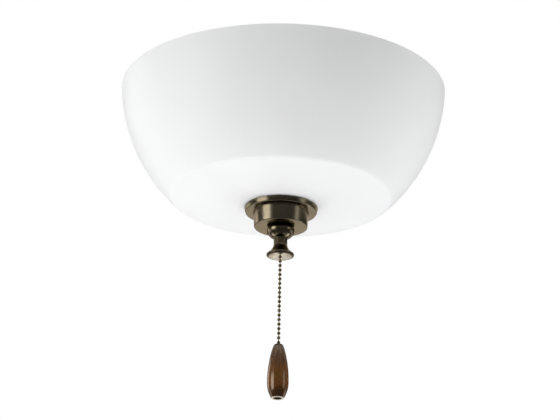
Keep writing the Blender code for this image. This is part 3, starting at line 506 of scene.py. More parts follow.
def lathe(points, steps, closed):
    """Vertices and faces of a profile turned about Z; a row is a point, or a function of the angle."""
    verts, faces, rows = [], [], []
    for point in points:
        first = len(verts)
        if not callable(point) and point[0] < SAME_PLACE:
            rows.append([first] * steps)
            verts.append((0.0, 0.0, point[1]))
            continue
        rows.append(range(first, first + steps))
        for k in range(steps):
            angle = 2 * pi * k / steps
            r, z = point(angle) if callable(point) else point
            verts.append((*around(r, angle), z))
    for upper, lower in zip(rows, rows[1:] + rows[:closed]):
        for k in range(steps):
            n = (k + 1) % steps
            face = tuple(dict.fromkeys((upper[k], lower[k], lower[n], upper[n])))
            if len(face) > 2:
                faces.append(face)
    return verts, faces


def new_mesh(name, verts, faces):
    mesh = bpy.data.meshes.new(name)
    mesh.from_pydata(verts, [], faces)
    return mesh


def placed(name, data):
    """A new object in the scene."""
    made = bpy.data.objects.new(name, data)
    bpy.context.scene.collection.objects.link(made)
    return made


def heights(node):
    """The lowest and the highest level of a CAD node."""
    low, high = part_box(node)
    return low.z, high.z


def piece(name, verts, faces, node, matrix=None, sharp=SHARP):
    """A shown piece that stands for a CAD node and rides on its body in its finish."""
    mesh = new_mesh(name, verts, faces)
    if matrix is not None:
        mesh.transform(matrix)
    mesh.polygons.foreach_set("use_smooth", [True] * len(mesh.polygons))
    mesh.set_sharp_from_angle(angle=sharp)
    mesh.update()
    made = placed(name, mesh)
    slot = SLOT_OF[node]
    mesh.materials.append(FINISHES[slot])
    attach(made, BODY_OF[node])
    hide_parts(node)


def turned(name, points, steps, node, matrix=None, sharp=SHARP):
    """A piece turned about Z; its profile is closed, or ends on the axis where it starts there."""
    piece(name, *lathe(points, steps, points[0][0] > 0), node, matrix, sharp)


def joined(*shapes):
    """Several lists of vertices and faces as one."""
    verts, faces = [], []
    for some_verts, some_faces in shapes:
        first = len(verts)
        verts += some_verts
        faces += [tuple(first + i for i in face) for face in some_faces]
    return verts, faces


def as_lists(shape):
    """A bmesh as lists of vertices and faces; the bmesh is freed."""
    shape.verts.index_update()
    result = [tuple(v.co) for v in shape.verts], [tuple(v.index for v in face.verts) for face in shape.faces]
    shape.free()
    return result


def welded(verts, faces):
    """The shape with doubled points merged and its faces turned outwards."""
    mesh = new_mesh("welded", verts, faces)
    shape = bmesh.new()
    shape.from_mesh(mesh)
    bmesh.ops.remove_doubles(shape, verts=shape.verts, dist=SAME_PLACE)
    bmesh.ops.dissolve_degenerate(shape, edges=shape.edges, dist=NO_LENGTH)
    bmesh.ops.recalc_face_normals(shape, faces=shape.faces)
    bpy.data.meshes.remove(mesh)
    return as_lists(shape)


def carved(shape, cutters):
    """The shape less its cutters, which don't touch each other."""
    blank = placed("blank", new_mesh("blank", *shape))
    cutter = placed("cutter", new_mesh("cutter", *joined(*cutters)))
    cut = blank.modifiers.new("cut", "BOOLEAN")
    cut.operation, cut.solver, cut.object = "DIFFERENCE", "EXACT", cutter
    bpy.context.view_layer.update()
    result = bpy.data.meshes.new_from_object(blank.evaluated_get(bpy.context.evaluated_depsgraph_get()))
    verts = [tuple(v.co) for v in result.vertices]
    faces = [tuple(face.vertices) for face in result.polygons]
    for old in (blank, cutter):
        bpy.data.objects.remove(old, do_unlink=True)
    return verts, faces


def moved(shape, x, y):
    verts, faces = shape
    return [(vx + x, vy + y, vz) for vx, vy, vz in verts], faces


def plug(radius, low, high):
    """A closed cylinder for cutting a round hole."""
    return lathe([(0, high), (radius, high), (radius, low), (0, low)], 48, False)


def helix(crest, root, low, high, pitch, steps, count, wave=False):
    """The wall of a thread, run out at both ends, with a number of rows in one pitch; a wave has no edges."""
    verts, faces = [], []
    rows = int(count * ((high - low) / pitch + 2)) + 1
    for j in range(rows):
        phase = (j % count) / count
        lift = (1 - cos(2 * pi * phase)) / 2 if wave else 1 - abs(2 * phase - 1)
        for k in range(steps):
            height = low - pitch + (j / count + k / steps) * pitch
            z = min(max(height, low), high)
            end = min(z - low, high - z) / (pitch * THREAD_RUN_OUT)
            r = root + (crest - root) * min(lift, end, 1)
            verts.append((*around(r, 2 * pi * k / steps), z))
    for j in range(rows - 1):
        for k in range(steps):
            shift = count if k == steps - 1 else 0
            if j + 1 + shift < rows:
                n = (k + 1) % steps
                upper, lower = j * steps, (j + 1) * steps
                faces.append((upper + k, upper + shift * steps + n, lower + shift * steps + n, lower + k))
    return verts, faces


def thread(crest, root, low, high, pitch, bore, steps):
    """A hollow threaded tube."""
    edge = min(THREAD_END_EDGE, (root - bore) / 3)
    ends = [(root, low), (bore + edge, low), (bore, low + edge), (bore, high - edge), (bore + edge, high), (root, high)]
    return welded(*joined(helix(crest, root, low, high, pitch, steps, 4), lathe(ends, steps, False)))


def hexagon(apothem, turn=0.0):
    """Reach of a six-sided outline at an angle, with a flat at the turn."""
    return lambda angle: apothem / cos((angle - turn + pi / 6) % (pi / 3) - pi / 6)


def pipe(low, high):
    """A length of hollow pipe, threaded from end to end."""
    return thread(PIPE_RADIUS, PIPE_RADIUS - PIPE_THREAD_DEPTH, low, high, PIPE_PITCH, PIPE_BORE_RADIUS, 32)


def pipe_nut(top_z):
    """A six-sided nut for the pipe, with turned chamfers on both faces and a countersunk bore."""
    low = top_z - PIPE_NUT_HEIGHT
    reach = hexagon(PIPE_NUT_FLATS / 2)
    crown = PIPE_NUT_FLATS / 2 - PIPE_NUT_CROWN
    hole, mouth = PIPE_HOLE_RADIUS, PIPE_HOLE_RADIUS + PIPE_NUT_SINK
    return [
        (hole, top_z - PIPE_NUT_SINK),
        (mouth, top_z),
        (crown, top_z),
        lambda a: (reach(a), top_z - (reach(a) - crown) * CHAMFER_SLOPE),
        lambda a: (reach(a), low + (reach(a) - crown) * CHAMFER_SLOPE),
        (crown, low),
        (mouth, low),
        (hole, low + PIPE_NUT_SINK),
    ]


# Glass bowl with a fire polished rim
RIM_CLEARANCE = 0.00001


def bowl_profile():
    outer = [(r, z) for r, z, _ in BOWL] + [(GLASS_HOLE_RADIUS, SEAT_Z)]
    inner = [(r - GLASS_THICKNESS * cos(a), z + GLASS_THICKNESS * sin(a)) for r, z, a in BOWL]
    inner.append((GLASS_HOLE_RADIUS, SEAT_Z + GLASS_THICKNESS))

    def below_corner(face):
        """A point of the face, a little farther from its corner than the rounding reaches."""
        corner = Vector(face[0])
        return tuple(corner + (Vector(face[1]) - corner).normalized() * RIM_ROUND * 1.05)

    rim = rounded([below_corner(outer), outer[0], inner[0], below_corner(inner)], RIM_ROUND, closed=False, count=7)
    outer = [p for p in outer if p[1] < rim[0][1] - RIM_CLEARANCE]
    inner = [p for p in inner if p[1] < rim[-1][1] - RIM_CLEARANCE]
    return inner[::-1] + rim[::-1] + outer


turned("bowl", bowl_profile(), 192, "glass_bowl")


# Stepped cap; the radii round the corners in the order of the points
def make_cap():
    outside = [(CAP_FLANGE_RADIUS, CAP_STEP_Z), (CAP_STEP_RADIUS, CAP_STEP_Z), (CAP_BOTTOM_RADIUS, CAP_BOTTOM_Z)]
    inside = [(r - CAP_WALL, z + CAP_WALL) for r, z in reversed(outside)]
    hole = [(PIPE_HOLE_RADIUS, CAP_BOTTOM_Z), (PIPE_HOLE_RADIUS, CAP_BOTTOM_Z + CAP_WALL)]
    points = [(CAP_RIM_RADIUS, CAP_TOP_Z), *outside, *hole, *inside, (CAP_RIM_RADIUS - CAP_WALL, CAP_TOP_Z)]
    radii = [0.0003, CAP_EDGE, 0.0004, CAP_EDGE, 0.0002, 0.0002, 0.0003, 0.0005, 0.0003, 0.0003]
    turned("cap", rounded(points, radii, count=6), 128, "bowl_cap")


make_cap()


# Finial
BALL_TOP_CHAMFER = (0.0004, 0.0001)
CHAIN_HOLE_EDGE = 0.0003


def make_finial():
    ball_lean = acos(BALL_TOP_RADIUS / BALL_RADIUS)
    rise = BALL_RISE / sin(ball_lean)
    across, down = BALL_TOP_CHAMFER
    points = [(BALL_TOP_RADIUS - across, FINIAL_TOP_Z), (BALL_TOP_RADIUS, FINIAL_TOP_Z - down)]
    points += arc((0, BALL_MIDDLE_Z), BALL_RADIUS, ball_lean, 0, 10, rise)[1:]
    neck_lean = -acos(NECK_RADIUS / BALL_RADIUS)
    fall = BALL_FALL / sin(-neck_lean)
    points += arc((0, BALL_MIDDLE_Z), BALL_RADIUS, 0, neck_lean, 18, fall)[1:]
    flare_edge = LIP_RADIUS - LIP_BULGE
    points += [(NECK_RADIUS + (flare_edge - NECK_RADIUS) * s**2, FLARE_TOP_Z - FLARE_HEIGHT * s) for s in shares(24)]
    points += arc((flare_edge, LIP_MIDDLE_Z), LIP_BULGE, pi / 2, 0, 5, LIP_RISE)[1:]
    dish_edge = LIP_RADIUS - LIP_ROUND
    points += arc((dish_edge, LIP_MIDDLE_Z), LIP_ROUND, 0, -pi / 2, 10, LIP_FALL)[1:-1]
    span = dish_edge - CHAIN_HOLE_RADIUS - CHAIN_HOLE_EDGE
    points += [(dish_edge - span * s, LIP_BOTTOM_Z + DISH_DEPTH * sin(pi / 2 * s)) for s in shares(14)]
    points.append((CHAIN_HOLE_RADIUS, LIP_BOTTOM_Z + DISH_DEPTH + CHAIN_HOLE_EDGE))
    floor = FINIAL_TOP_Z - FINIAL_THREAD_DEPTH
    points += [(CHAIN_HOLE_RADIUS, floor), (PIPE_HOLE_RADIUS, floor), (PIPE_HOLE_RADIUS, FINIAL_TOP_Z)]
    turned("finial_turned", points, 96, "finial")


make_finial()


# Ball chain: hollow beads with a drawn-in eye at each end, joined by short pins
EYE_RADIUS = 0.00075
EYE_THROAT_RADIUS = 0.00062
EYE_THROAT_DEPTH = 0.00004
EYE_DEPTH = 0.00018
PIN_SPLIT = 0.00002
CHAIN_TOP_DROP = 0.0018


def bead_profile(centre_z):
    lean = acos(EYE_RADIUS / BEAD_RADIUS)
    rise = BEAD_RADIUS * sin(lean)
    points = [(LINK_RADIUS, centre_z + rise - EYE_DEPTH), (EYE_THROAT_RADIUS, centre_z + rise - EYE_THROAT_DEPTH)]
    points += arc((0, centre_z), BEAD_RADIUS, lean, -lean, 12)
    points += [(EYE_THROAT_RADIUS, centre_z - rise + EYE_THROAT_DEPTH), (LINK_RADIUS, centre_z - rise + EYE_DEPTH)]
    return points


def bead_z(bead):
    return FIRST_BEAD_Z - (bead - 1) * BEAD_PITCH


def chain_run(name, first, last, top_z, low_z, node, steps=20):
    """Beads of these numbers on their pins, from one end to the other."""
    points = [(0, top_z)] + arc((0, top_z - LINK_RADIUS), LINK_RADIUS, pi / 2, 0, 5)[1:]
    for bead in range(first, last + 1):
        points += bead_profile(bead_z(bead))
    points += arc((0, low_z + LINK_RADIUS), LINK_RADIUS, 0, -pi / 2, 5)[:-1] + [(0, low_z)]
    turned(name, points, steps, node)


def make_chain():
    half = BEAD_PITCH / 2 - PIN_SPLIT
    beads_above = int((PLATE_BOTTOM_Z - CHAIN_TOP_DROP - FIRST_BEAD_Z) / BEAD_PITCH)
    chain_run("chain_upper", 1 - beads_above, 2, heights("switch_chain")[1], bead_z(2) - half, "switch_chain", 14)
    for i in range(1, 5):
        node = f"chain_stretch_{i}"
        first = 4 * i - 1
        last, low = first + 3, bead_z(first + 3) - half
        if i == 4:
            low = heights(node)[0]
            last = int((FIRST_BEAD_Z - low - BEAD_RADIUS) / BEAD_PITCH) + 1
        chain_run(f"chain_part_{i}", first, last, bead_z(first) + half, low, node)


make_chain()


# Wooden fob; its rows lie closer together towards the top
FOB_TOP_SPREAD = 1.6
FOB_PASSAGE_EDGE = 0.0003
POCKET_CHAMFER = (0.0004, 0.0005)


def make_fob():
    widest_z = FOB_TOP_Z - FOB_LENGTH * FOB_WIDEST_SHARE
    points = []
    for step in shares(40):
        share = step**FOB_TOP_SPREAD
        swell = sin(pi / 2 * share) ** FOB_TOP_FULLNESS if share else 0
        radius = FOB_TOP_RADIUS + (FOB_RADIUS - FOB_TOP_RADIUS) * swell
        points.append((radius, FOB_TOP_Z + (widest_z - FOB_TOP_Z) * share))
    for share in shares(24, 1):
        fall = (1 - cos(pi / 2 * share)) ** (1 / FOB_BOTTOM_FULLNESS)
        radius = FOB_RADIUS - (FOB_RADIUS - FOB_BOTTOM_RADIUS) * fall
        points.append((radius, widest_z + (FOB_BOTTOM_Z - widest_z) * share))
    pocket_z = FOB_BOTTOM_Z + FOB_POCKET_DEPTH
    across, up = POCKET_CHAMFER
    points += [
        (FOB_POCKET_RADIUS + across, FOB_BOTTOM_Z),
        (FOB_POCKET_RADIUS, FOB_BOTTOM_Z + up),
        (FOB_POCKET_RADIUS, pocket_z),
        (FOB_PASSAGE_RADIUS, pocket_z),
        (FOB_PASSAGE_RADIUS, FOB_TOP_Z - FOB_PASSAGE_EDGE),
        (FOB_PASSAGE_RADIUS + FOB_PASSAGE_EDGE, FOB_TOP_Z),
    ]
    turned("fob_turned", points, 96, "pull_fob")


make_fob()


# Rod, its nuts, what clamps the glass, and the crimped stop in the fob
def make_clamp():
    for name, node in (("rod_threaded", "center_rod"), ("nipple_threaded", "top_nipple")):
        piece(name, *pipe(*heights(node)), node, sharp=PIPE_SHARP)
    for node in ("rod_nut_upper", "rod_nut_lower", "stop_nut", "top_locknut"):
        turned(node + "_fine", pipe_nut(heights(node)[1]), 96, node, sharp=NUT_SHARP)
    cap_inside = CAP_FLANGE_RADIUS - CAP_EDGE - CAP_WALL - GAP
    for node, inner, outer, edge, steps in (
        ("gasket_upper", PIPE_HOLE_RADIUS, GASKET_RADIUS, 0.0005, 96),
        ("steel_washer", PIPE_HOLE_RADIUS, WASHER_RADIUS, 0.0003, 96),
        ("gasket_lower", cap_inside - CAP_RING_WIDTH, cap_inside, 0.0006, 128),
    ):
        ring = flat_ring(inner, outer, *heights(node))
        turned(node + "_fine", rounded(ring, edge), steps, node)
    low, high = heights("chain_stop")
    crimp = [(0, high), (0.0013, high), (0.0030, high - 0.0015), (0.0030, low)]
    crimp += [(0.0022, low), (0.0016, low + 0.0012), (0, low + 0.0012)]
    turned("chain_stop_fine", rounded(crimp, 0.0004, closed=False), 48, "chain_stop")


make_clamp()


# Pan, plate, switch, hub and screws; screws are given as a circle and their angles on it
PLATE_SCREWS = (0.0525, (radians(50), radians(230)))
HUB_SCREWS = (0.0342, (radians(90), radians(210), radians(330)))
SCREW_HOLE_RADIUS = 0.0020
LEAD_CIRCLE = 0.0170
LEAD_HOLE_RADIUS = 0.0021
SWITCH_HOLE_RADIUS = 0.0045
PLATE_SCREW_RINGS = (0.0502, 0.0548)
PAN_RINGS = (0.012, 0.030, *PLATE_SCREW_RINGS)
PLATE_RINGS = (0.0145, 0.0195, 0.0318, 0.0366, *PLATE_SCREW_RINGS)


def arm_frame(angle):
    """The place of an arm's flat on the hub, with Z out along the arm."""
    turn = Euler((0, pi / 2 + ARM_TILT, angle)).to_matrix().to_4x4()
    return Matrix.Translation((*around(ARM_FLAT_RADIUS, angle), ARM_FLAT_Z)) @ turn


ARM_FRAMES = [arm_frame(angle) for angle in ARM_ANGLES]


def holes(radius, low, high, circle, angles):
    """Plugs for round holes on a circle."""
    return [moved(plug(radius, low, high), *around(circle, angle)) for angle in angles]


def ringed(profile, radii):
    """The closed profile with points added where its level stretches cross these radii."""
    result = []
    for i, (r, z) in enumerate(profile):
        result.append((r, z))
        next_r, next_z = profile[(i + 1) % len(profile)]
        if abs(next_z - z) < SAME_PLACE:
            crossed = [ring for ring in radii if min(r, next_r) < ring < max(r, next_r)]
            result += [(ring, z) for ring in sorted(crossed, reverse=next_r < r)]
    return result


def make_pan():
    inside = PAN_RADIUS - PAN_WALL
    pan = [(PIPE_HOLE_RADIUS, 0), (PAN_RADIUS, 0), (PAN_RADIUS, -PAN_HEIGHT), (inside, -PAN_HEIGHT)]
    pan += [(inside, -PAN_WALL), (PIPE_HOLE_RADIUS, -PAN_WALL)]
    pan = rounded(pan, [0.0003, PAN_CORNER, 0.0005, 0.0005, PAN_CORNER - PAN_WALL, 0.0003], count=8)
    cutters = holes(SCREW_HOLE_RADIUS, -0.004, 0.003, *PLATE_SCREWS)
    shape = carved(lathe(ringed(pan, PAN_RINGS), 160, True), cutters)
    piece("pan_spun", *shape, "fitter_pan", sharp=CAST_SHARP)
    plate = flat_ring(SWITCH_HOLE_RADIUS, inside - GAP, PLATE_BOTTOM_Z, PLATE_TOP_Z)
    low, high = PLATE_BOTTOM_Z - 0.002, PLATE_TOP_Z + 0.002
    cutters = holes(SCREW_HOLE_RADIUS, low, high, *PLATE_SCREWS)
    cutters += holes(SCREW_HOLE_RADIUS, low, high, *HUB_SCREWS)
    cutters += holes(LEAD_HOLE_RADIUS, low, high, LEAD_CIRCLE, ARM_ANGLES)
    shape = carved(lathe(ringed(rounded(plate, 0.0004), PLATE_RINGS), 160, True), cutters)
    piece("plate_pressed", *shape, "cover_plate", sharp=CAST_SHARP)


SCREW_HEAD_RADIUS = 0.0036
SCREW_HEAD_HEIGHT = 0.0020
SCREW_HEAD_SIDE = 0.0008
SCREW_HEAD_DOME = 0.0012
SCREW_SLOT = (0.004, 0.00045, 0.0009)
SCREW_THREAD = (0.0017, 0.00138)
SCREW_PITCH = 0.00079
SCREW_BORE_RADIUS = 0.0004
SCREW_OVERLAP = 0.0002
BOX_SIDES = [(0, 1, 3, 2), (4, 6, 7, 5), (0, 4, 5, 1), (2, 3, 7, 6), (0, 2, 6, 4), (1, 5, 7, 3)]


def make_screw(node, place):
    """A slotted pan head screw with a rolled thread."""
    low, high = heights(node)
    seat = low + SCREW_HEAD_HEIGHT
    head = [(0, seat), (SCREW_HEAD_RADIUS, seat)]
    head += arc((0, seat - SCREW_HEAD_SIDE), SCREW_HEAD_RADIUS, 0, -pi / 2, 10, SCREW_HEAD_DOME)
    length, width, depth = SCREW_SLOT
    slot = [(x * length, y * width, low + z * depth) for x in (-1, 1) for y in (-1, 1) for z in (-1, 1)]
    shank = thread(*SCREW_THREAD, seat - SCREW_OVERLAP, high, SCREW_PITCH, SCREW_BORE_RADIUS, 18)
    shape = joined(carved(lathe(head, 48, False), [(slot, BOX_SIDES)]), shank)
    piece(node + "_fine", *shape, node, Matrix.Translation((*place, 0)), radians(35))


SWITCH_EDGE = 0.0012
SWITCH_THREAD = (0.0042, 0.0039)
SWITCH_PITCH = 0.0008
SWITCH_BORE_RADIUS = 0.0021
RIVET_RADIUS = 0.0013
RIVET_HEIGHT = 0.0006
RIVET_OUT = 0.0055
SWITCH_NUT_RADIUS = 0.0070
SWITCH_NUT_FACE = 0.0066
SWITCH_NUT_EDGE = 0.0004
KNURL_DEPTH = 0.00014
KNURL_COUNT = 40


def make_switch():
    low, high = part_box("pull_switch")
    base = PLATE_TOP_Z + GAP
    size = Vector((high.x - low.x, high.y - low.y, high.z - base))
    shape = bmesh.new()
    bmesh.ops.create_cube(shape, size=1)
    bmesh.ops.scale(shape, verts=shape.verts, vec=size)
    bmesh.ops.translate(shape, verts=shape.verts, vec=(0, 0, base + size.z / 2))
    bmesh.ops.bevel(shape, geom=shape.edges[:], offset=SWITCH_EDGE, segments=5, profile=0.5, affect="EDGES")
    body = as_lists(shape)
    neck = thread(*SWITCH_THREAD, low.z, base + SWITCH_EDGE, SWITCH_PITCH, SWITCH_BORE_RADIUS, 32)
    foot = high.z - RIVET_HEIGHT
    rivet = [(0, high.z)] + arc((0, foot), RIVET_RADIUS, pi / 2, 0, 6, RIVET_HEIGHT)[1:] + [(0, foot)]
    rivets = [moved(lathe(rivet, 24, False), side * RIVET_OUT, 0) for side in (-1, 1)]
    piece("switch_body", *joined(body, neck, *rivets), "pull_switch")
    low, high = heights("switch_nut")
    knurl = lambda a: SWITCH_NUT_RADIUS - KNURL_DEPTH * (1 + cos(KNURL_COUNT * a))
    ring = [
        (SWITCH_HOLE_RADIUS, high),
        (SWITCH_NUT_FACE, high),
        lambda a: (knurl(a), high - SWITCH_NUT_EDGE),
        lambda a: (knurl(a), low + SWITCH_NUT_EDGE),
        (SWITCH_NUT_FACE, low),
        (SWITCH_HOLE_RADIUS, low),
    ]
    turned("switch_nut_fine", ring, 240, "switch_nut")


HUB_BRIM_RADIUS = 0.0380
HUB_EDGE = 0.0003
HUB_FILLET = 0.0010
HUB_CORNER_SHARE = 1.115
HUB_CORNER_SOFTNESS = 4e-7
HUB_FLOOR_FILLET = 0.0008
HUB_HOLE_SINK = 0.0002


def hub_row(z, inset):
    """A row around the six-sided hub, soft at the corners, moved in from its wall."""
    apothem = HUB_TOP_APOTHEM + (z - HUB_TOP_Z) * tan(ARM_TILT) - inset / cos(ARM_TILT)
    reach = hexagon(apothem, pi / 6)
    corner = apothem * HUB_CORNER_SHARE

    def row(angle):
        short = corner - reach(angle)
        return corner - sqrt(short**2 + HUB_CORNER_SOFTNESS) / 2 - short / 2, z

    return row


def make_hub():
    top, low, hole = HUB_TOP_Z, HUB_BOTTOM_Z, PIPE_HOLE_RADIUS
    brim, floor = top - HUB_WALL, low + HUB_WALL
    wall_top, wall_span = brim - HUB_FILLET, low + 0.0011 - brim
    rows = [(HUB_BRIM_RADIUS - HUB_EDGE, top), (HUB_BRIM_RADIUS, top - HUB_EDGE)]
    rows += [(HUB_BRIM_RADIUS, brim + HUB_EDGE), (HUB_BRIM_RADIUS - HUB_EDGE, brim)]
    rows += [hub_row(brim, -0.0009), hub_row(brim - 0.0003, -0.0003), hub_row(wall_top, 0)]
    rows += [hub_row(wall_top + wall_span * share, 0) for share in shares(8, 1)]
    rows += [hub_row(low + 0.0004, 0.0004), hub_row(low, 0.0012)]
    rows += [(hole + HUB_HOLE_SINK, low), (hole, low + HUB_HOLE_SINK), (hole, floor)]
    rows += [hub_row(floor, HUB_WALL + HUB_FLOOR_FILLET), hub_row(floor + HUB_FLOOR_FILLET, HUB_WALL)]
    rows.append(hub_row(top, HUB_WALL))
    cutters = []
    for place in ARM_FRAMES:
        verts, faces = plug(hole, -HUB_WALL - 0.002, 0.002)
        cutters.append(([tuple(place @ Vector(v)) for v in verts], faces))
    cutters += holes(SCREW_HOLE_RADIUS, brim - 0.0008, top + 0.001, *HUB_SCREWS)
    piece("hub_cast", *carved(lathe(rows, 144, True), cutters), "socket_hub", sharp=CAST_SHARP)


make_pan()
make_switch()
make_hub()
for kind, (circle, angles) in (("plate_screw", PLATE_SCREWS), ("hub_screw", HUB_SCREWS)):
    for number, angle in enumerate(angles, 1):
        make_screw(f"{kind}_{number}", around(circle, angle))


# Lamp holders, lamps, leads and connectors; sizes along an arm are from the hub's flat outwards
ARM_NIPPLE_IN = 0.0062
LEAD_RADIUS = 0.0012
CONNECTOR_ABOVE_PLATE = 0.0045
LAMP_PITCH = 0.003629
INSULATOR_LOW = SOCKET_FLOOR + GAP
INSULATOR_TOP = INSULATOR_LOW + INSULATOR_THICKNESS
SHELL_LOW = INSULATOR_TOP + GAP
SHELL_TOP = SHELL_LOW + SHELL_LENGTH
SHELL_INNER = LAMP_THREAD_RADIUS + 0.0005
SHELL_LIP_RADIUS = 0.0095
SHELL_LIP_THICKNESS = 0.0005
SHELL_THREAD_DEPTH = 0.0004
LAMP_TIP = SHELL_LOW + CONTACT_THICKNESS + GAP
LAMP_MOUTH = LAMP_TIP + LAMP_BASE_LENGTH
LAMP_THREAD_DEPTH = 0.0009
LAMP_TAPER = 0.0065
LAMP_RIM = 0.0030
HOLDER_EDGE = 0.0004
GROOVE_BELOW_MOUTH = 0.0030
GROOVE_PITCH = 0.0016
GROOVE_DEPTH = 0.0003
GROOVE_HALVES = (0.0005, 0.0002)
ROLLED_STEPS = 72


def rolled_wall(crest, root, low, high):
    """The rolled wall of a lamp thread, smooth from crest to root."""
    return helix(crest, root, low, high, LAMP_PITCH, ROLLED_STEPS, 12, wave=True)


def holder_body():
    mouth, floor, outer, neck = SOCKET_LENGTH, SOCKET_FLOOR, SOCKET_RADIUS, SOCKET_NECK_RADIUS
    cavity, edge, groove = outer - SOCKET_WALL, HOLDER_EDGE, outer - GROOVE_DEPTH
    points = [(cavity, mouth - edge), (cavity + edge, mouth), (outer - edge, mouth), (outer, mouth - edge)]
    half, flat = GROOVE_HALVES
    for i in range(3):
        z = mouth - GROOVE_BELOW_MOUTH - GROOVE_PITCH * i
        points += [(outer, z + half), (groove, z + flat), (groove, z - flat), (outer, z - half)]
    points.append((outer, floor + 0.0008))
    points += arc((neck, floor), outer - neck, 0, -pi / 2, 14, (floor - SOCKET_WALL) / 2)
    points += [(neck, GAP + edge), (neck - edge, GAP), (PIPE_HOLE_RADIUS, GAP), (PIPE_HOLE_RADIUS, floor)]
    return lathe(points + [(cavity, floor)], 96, True)


def holder_disc():
    radius, recess = SOCKET_RADIUS - SOCKET_WALL - GAP, INSULATOR_TOP - 0.0012
    points = [(0, recess), (0.0086, recess), (0.0092, INSULATOR_TOP), (radius, INSULATOR_TOP)]
    points += [(radius, INSULATOR_LOW), (0, INSULATOR_LOW)]
    return lathe(rounded(points, HOLDER_EDGE, closed=False), 96, False)


def holder_shell():
    outer, inner, depth = SHELL_INNER + SHELL_WALL, SHELL_INNER, SHELL_THREAD_DEPTH
    low, high = SHELL_LOW + 0.0018, SHELL_TOP - 0.0012
    lip, lip_top = SHELL_LIP_RADIUS, SHELL_LOW + SHELL_LIP_THICKNESS
    mouth = [(outer - depth, high), (outer, SHELL_TOP), (inner + 0.0002, SHELL_TOP), (inner, high)]
    foot = [(outer - depth, low), (outer - 0.0010, SHELL_LOW), (lip, SHELL_LOW), (lip, lip_top)]
    foot += [(inner - depth, lip_top), (inner, low)]
    walls = rolled_wall(outer, outer - depth, low, high), rolled_wall(inner + depth, inner, low, high)
    return welded(*joined(*walls, lathe(mouth, ROLLED_STEPS, False), lathe(foot, ROLLED_STEPS, False)))


def holder_contact():
    top = SHELL_LOW + CONTACT_THICKNESS
    points = [(0, top)] + arc((0.0022, top - 0.0008), 0.0018, pi / 2, 0, 8, 0.0008)
    return lathe(points + [(0.0040, SHELL_LOW), (0, SHELL_LOW)], 48, False)


def lamp_base():
    crest, root = LAMP_THREAD_RADIUS, LAMP_THREAD_RADIUS - LAMP_THREAD_DEPTH
    taper_top, rim_low = LAMP_TIP + LAMP_TAPER, LAMP_MOUTH - LAMP_RIM
    tip = [(0, LAMP_TIP)] + arc((0.0024, LAMP_TIP + 0.0015), 0.0024, -pi / 2, 0, 8, 0.0015)
    tip += [(0.0052, LAMP_TIP + 0.0018), (0.0080, LAMP_TIP + 0.0034), (0.0108, taper_top - 0.0012), (root, taper_top)]
    rim = [(root, rim_low), (crest - 0.0003, LAMP_MOUTH - 0.0016), (crest, LAMP_MOUTH - HOLDER_EDGE)]
    rim += [(crest - HOLDER_EDGE, LAMP_MOUTH), (0, LAMP_MOUTH)]
    wall = rolled_wall(crest, root, taper_top, rim_low)
    return welded(*joined(lathe(tip, ROLLED_STEPS, False), wall, lathe(rim, ROLLED_STEPS, False)))


def lamp_globe():
    low, neck = LAMP_MOUTH + GAP, LAMP_NECK_RADIUS
    globe_z = low + LAMP_GLASS_LENGTH - LAMP_GLOBE_RADIUS
    rise, reach = globe_z - low - LAMP_NECK_LENGTH, LAMP_GLOBE_RADIUS - neck
    points = [(0, low + LAMP_GLASS_LENGTH)] + arc((0, globe_z), LAMP_GLOBE_RADIUS, pi / 2, 0, 32)[1:]
    points += [(LAMP_GLOBE_RADIUS - reach * (1 - cos(pi * s)) / 2, globe_z - rise * s) for s in shares(24, 1)]
    return lathe(points + [(neck, low + 0.0006), (neck - 0.0006, low), (0, low)], 96, False)


def lead_route(angle):
    """The lead's way: out of its socket, along the nipple, up through the plate into its connector."""
    out = Vector((cos(ARM_TILT), -sin(ARM_TILT)))
    flat = Vector((ARM_FLAT_RADIUS, ARM_FLAT_Z))
    inner = flat - out * (HUB_WALL + ARM_NIPPLE_IN + 2 * LEAD_RADIUS)
    bend = LEAD_CIRCLE - inner.x
    guide = [
        flat + out * (SOCKET_FLOOR - LEAD_RADIUS),
        flat + out * (SOCKET_FLOOR / 3),
        flat - out * (ARM_NIPPLE_IN / 2),
        inner,
        Vector((inner.x - bend / 4, inner.y + bend)),
        Vector((LEAD_CIRCLE - bend / 4, (inner.y + HUB_TOP_Z) / 2 + bend / 2)),
        Vector((LEAD_CIRCLE, HUB_TOP_Z - LEAD_RADIUS)),
        Vector((LEAD_CIRCLE, PLATE_TOP_Z + LEAD_RADIUS)),
        Vector((LEAD_CIRCLE, PLATE_TOP_Z + CONNECTOR_ABOVE_PLATE + 0.006)),
    ]
    ends = [2 * guide[0] - guide[1]] + guide + [2 * guide[-1] - guide[-2]]
    route = []
    for i in range(1, len(ends) - 2):
        a, b, c, d = ends[i - 1 : i + 3]
        for step in range(10):
            t = step / 10
            route.append(
                (2 * b + (c - a) * t + (2 * a - 5 * b + 4 * c - d) * t**2 + (3 * b - a - 3 * c + d) * t**3) / 2
            )
    route.append(guide[-1])
    return [Vector((*around(p.x, angle), p.y)) for p in route]


def make_lead(number, angle):
    """A round jacket swept along its way; the way lies in one upright plane."""
    route = lead_route(angle)
    across = Vector((-sin(angle), cos(angle), 0))
    verts, faces, steps = [], [], 20
    for i, point in enumerate(route):
        along = (route[min(i + 1, len(route) - 1)] - route[max(i - 1, 0)]).normalized()
        side = along.cross(across)
        for k in range(steps):
            turn = 2 * pi * k / steps
            verts.append(tuple(point + (across * cos(turn) + side * sin(turn)) * LEAD_RADIUS))
    for i in range(len(route) - 1):
        for k in range(steps):
            n = (k + 1) % steps
            faces.append((i * steps + k, i * steps + n, (i + 1) * steps + n, (i + 1) * steps + k))
    faces += [tuple(range(steps)), tuple(range(len(verts) - steps, len(verts)))[::-1]]
    piece(f"lead_swept_{number}", *welded(verts, faces), f"lead_{number}")


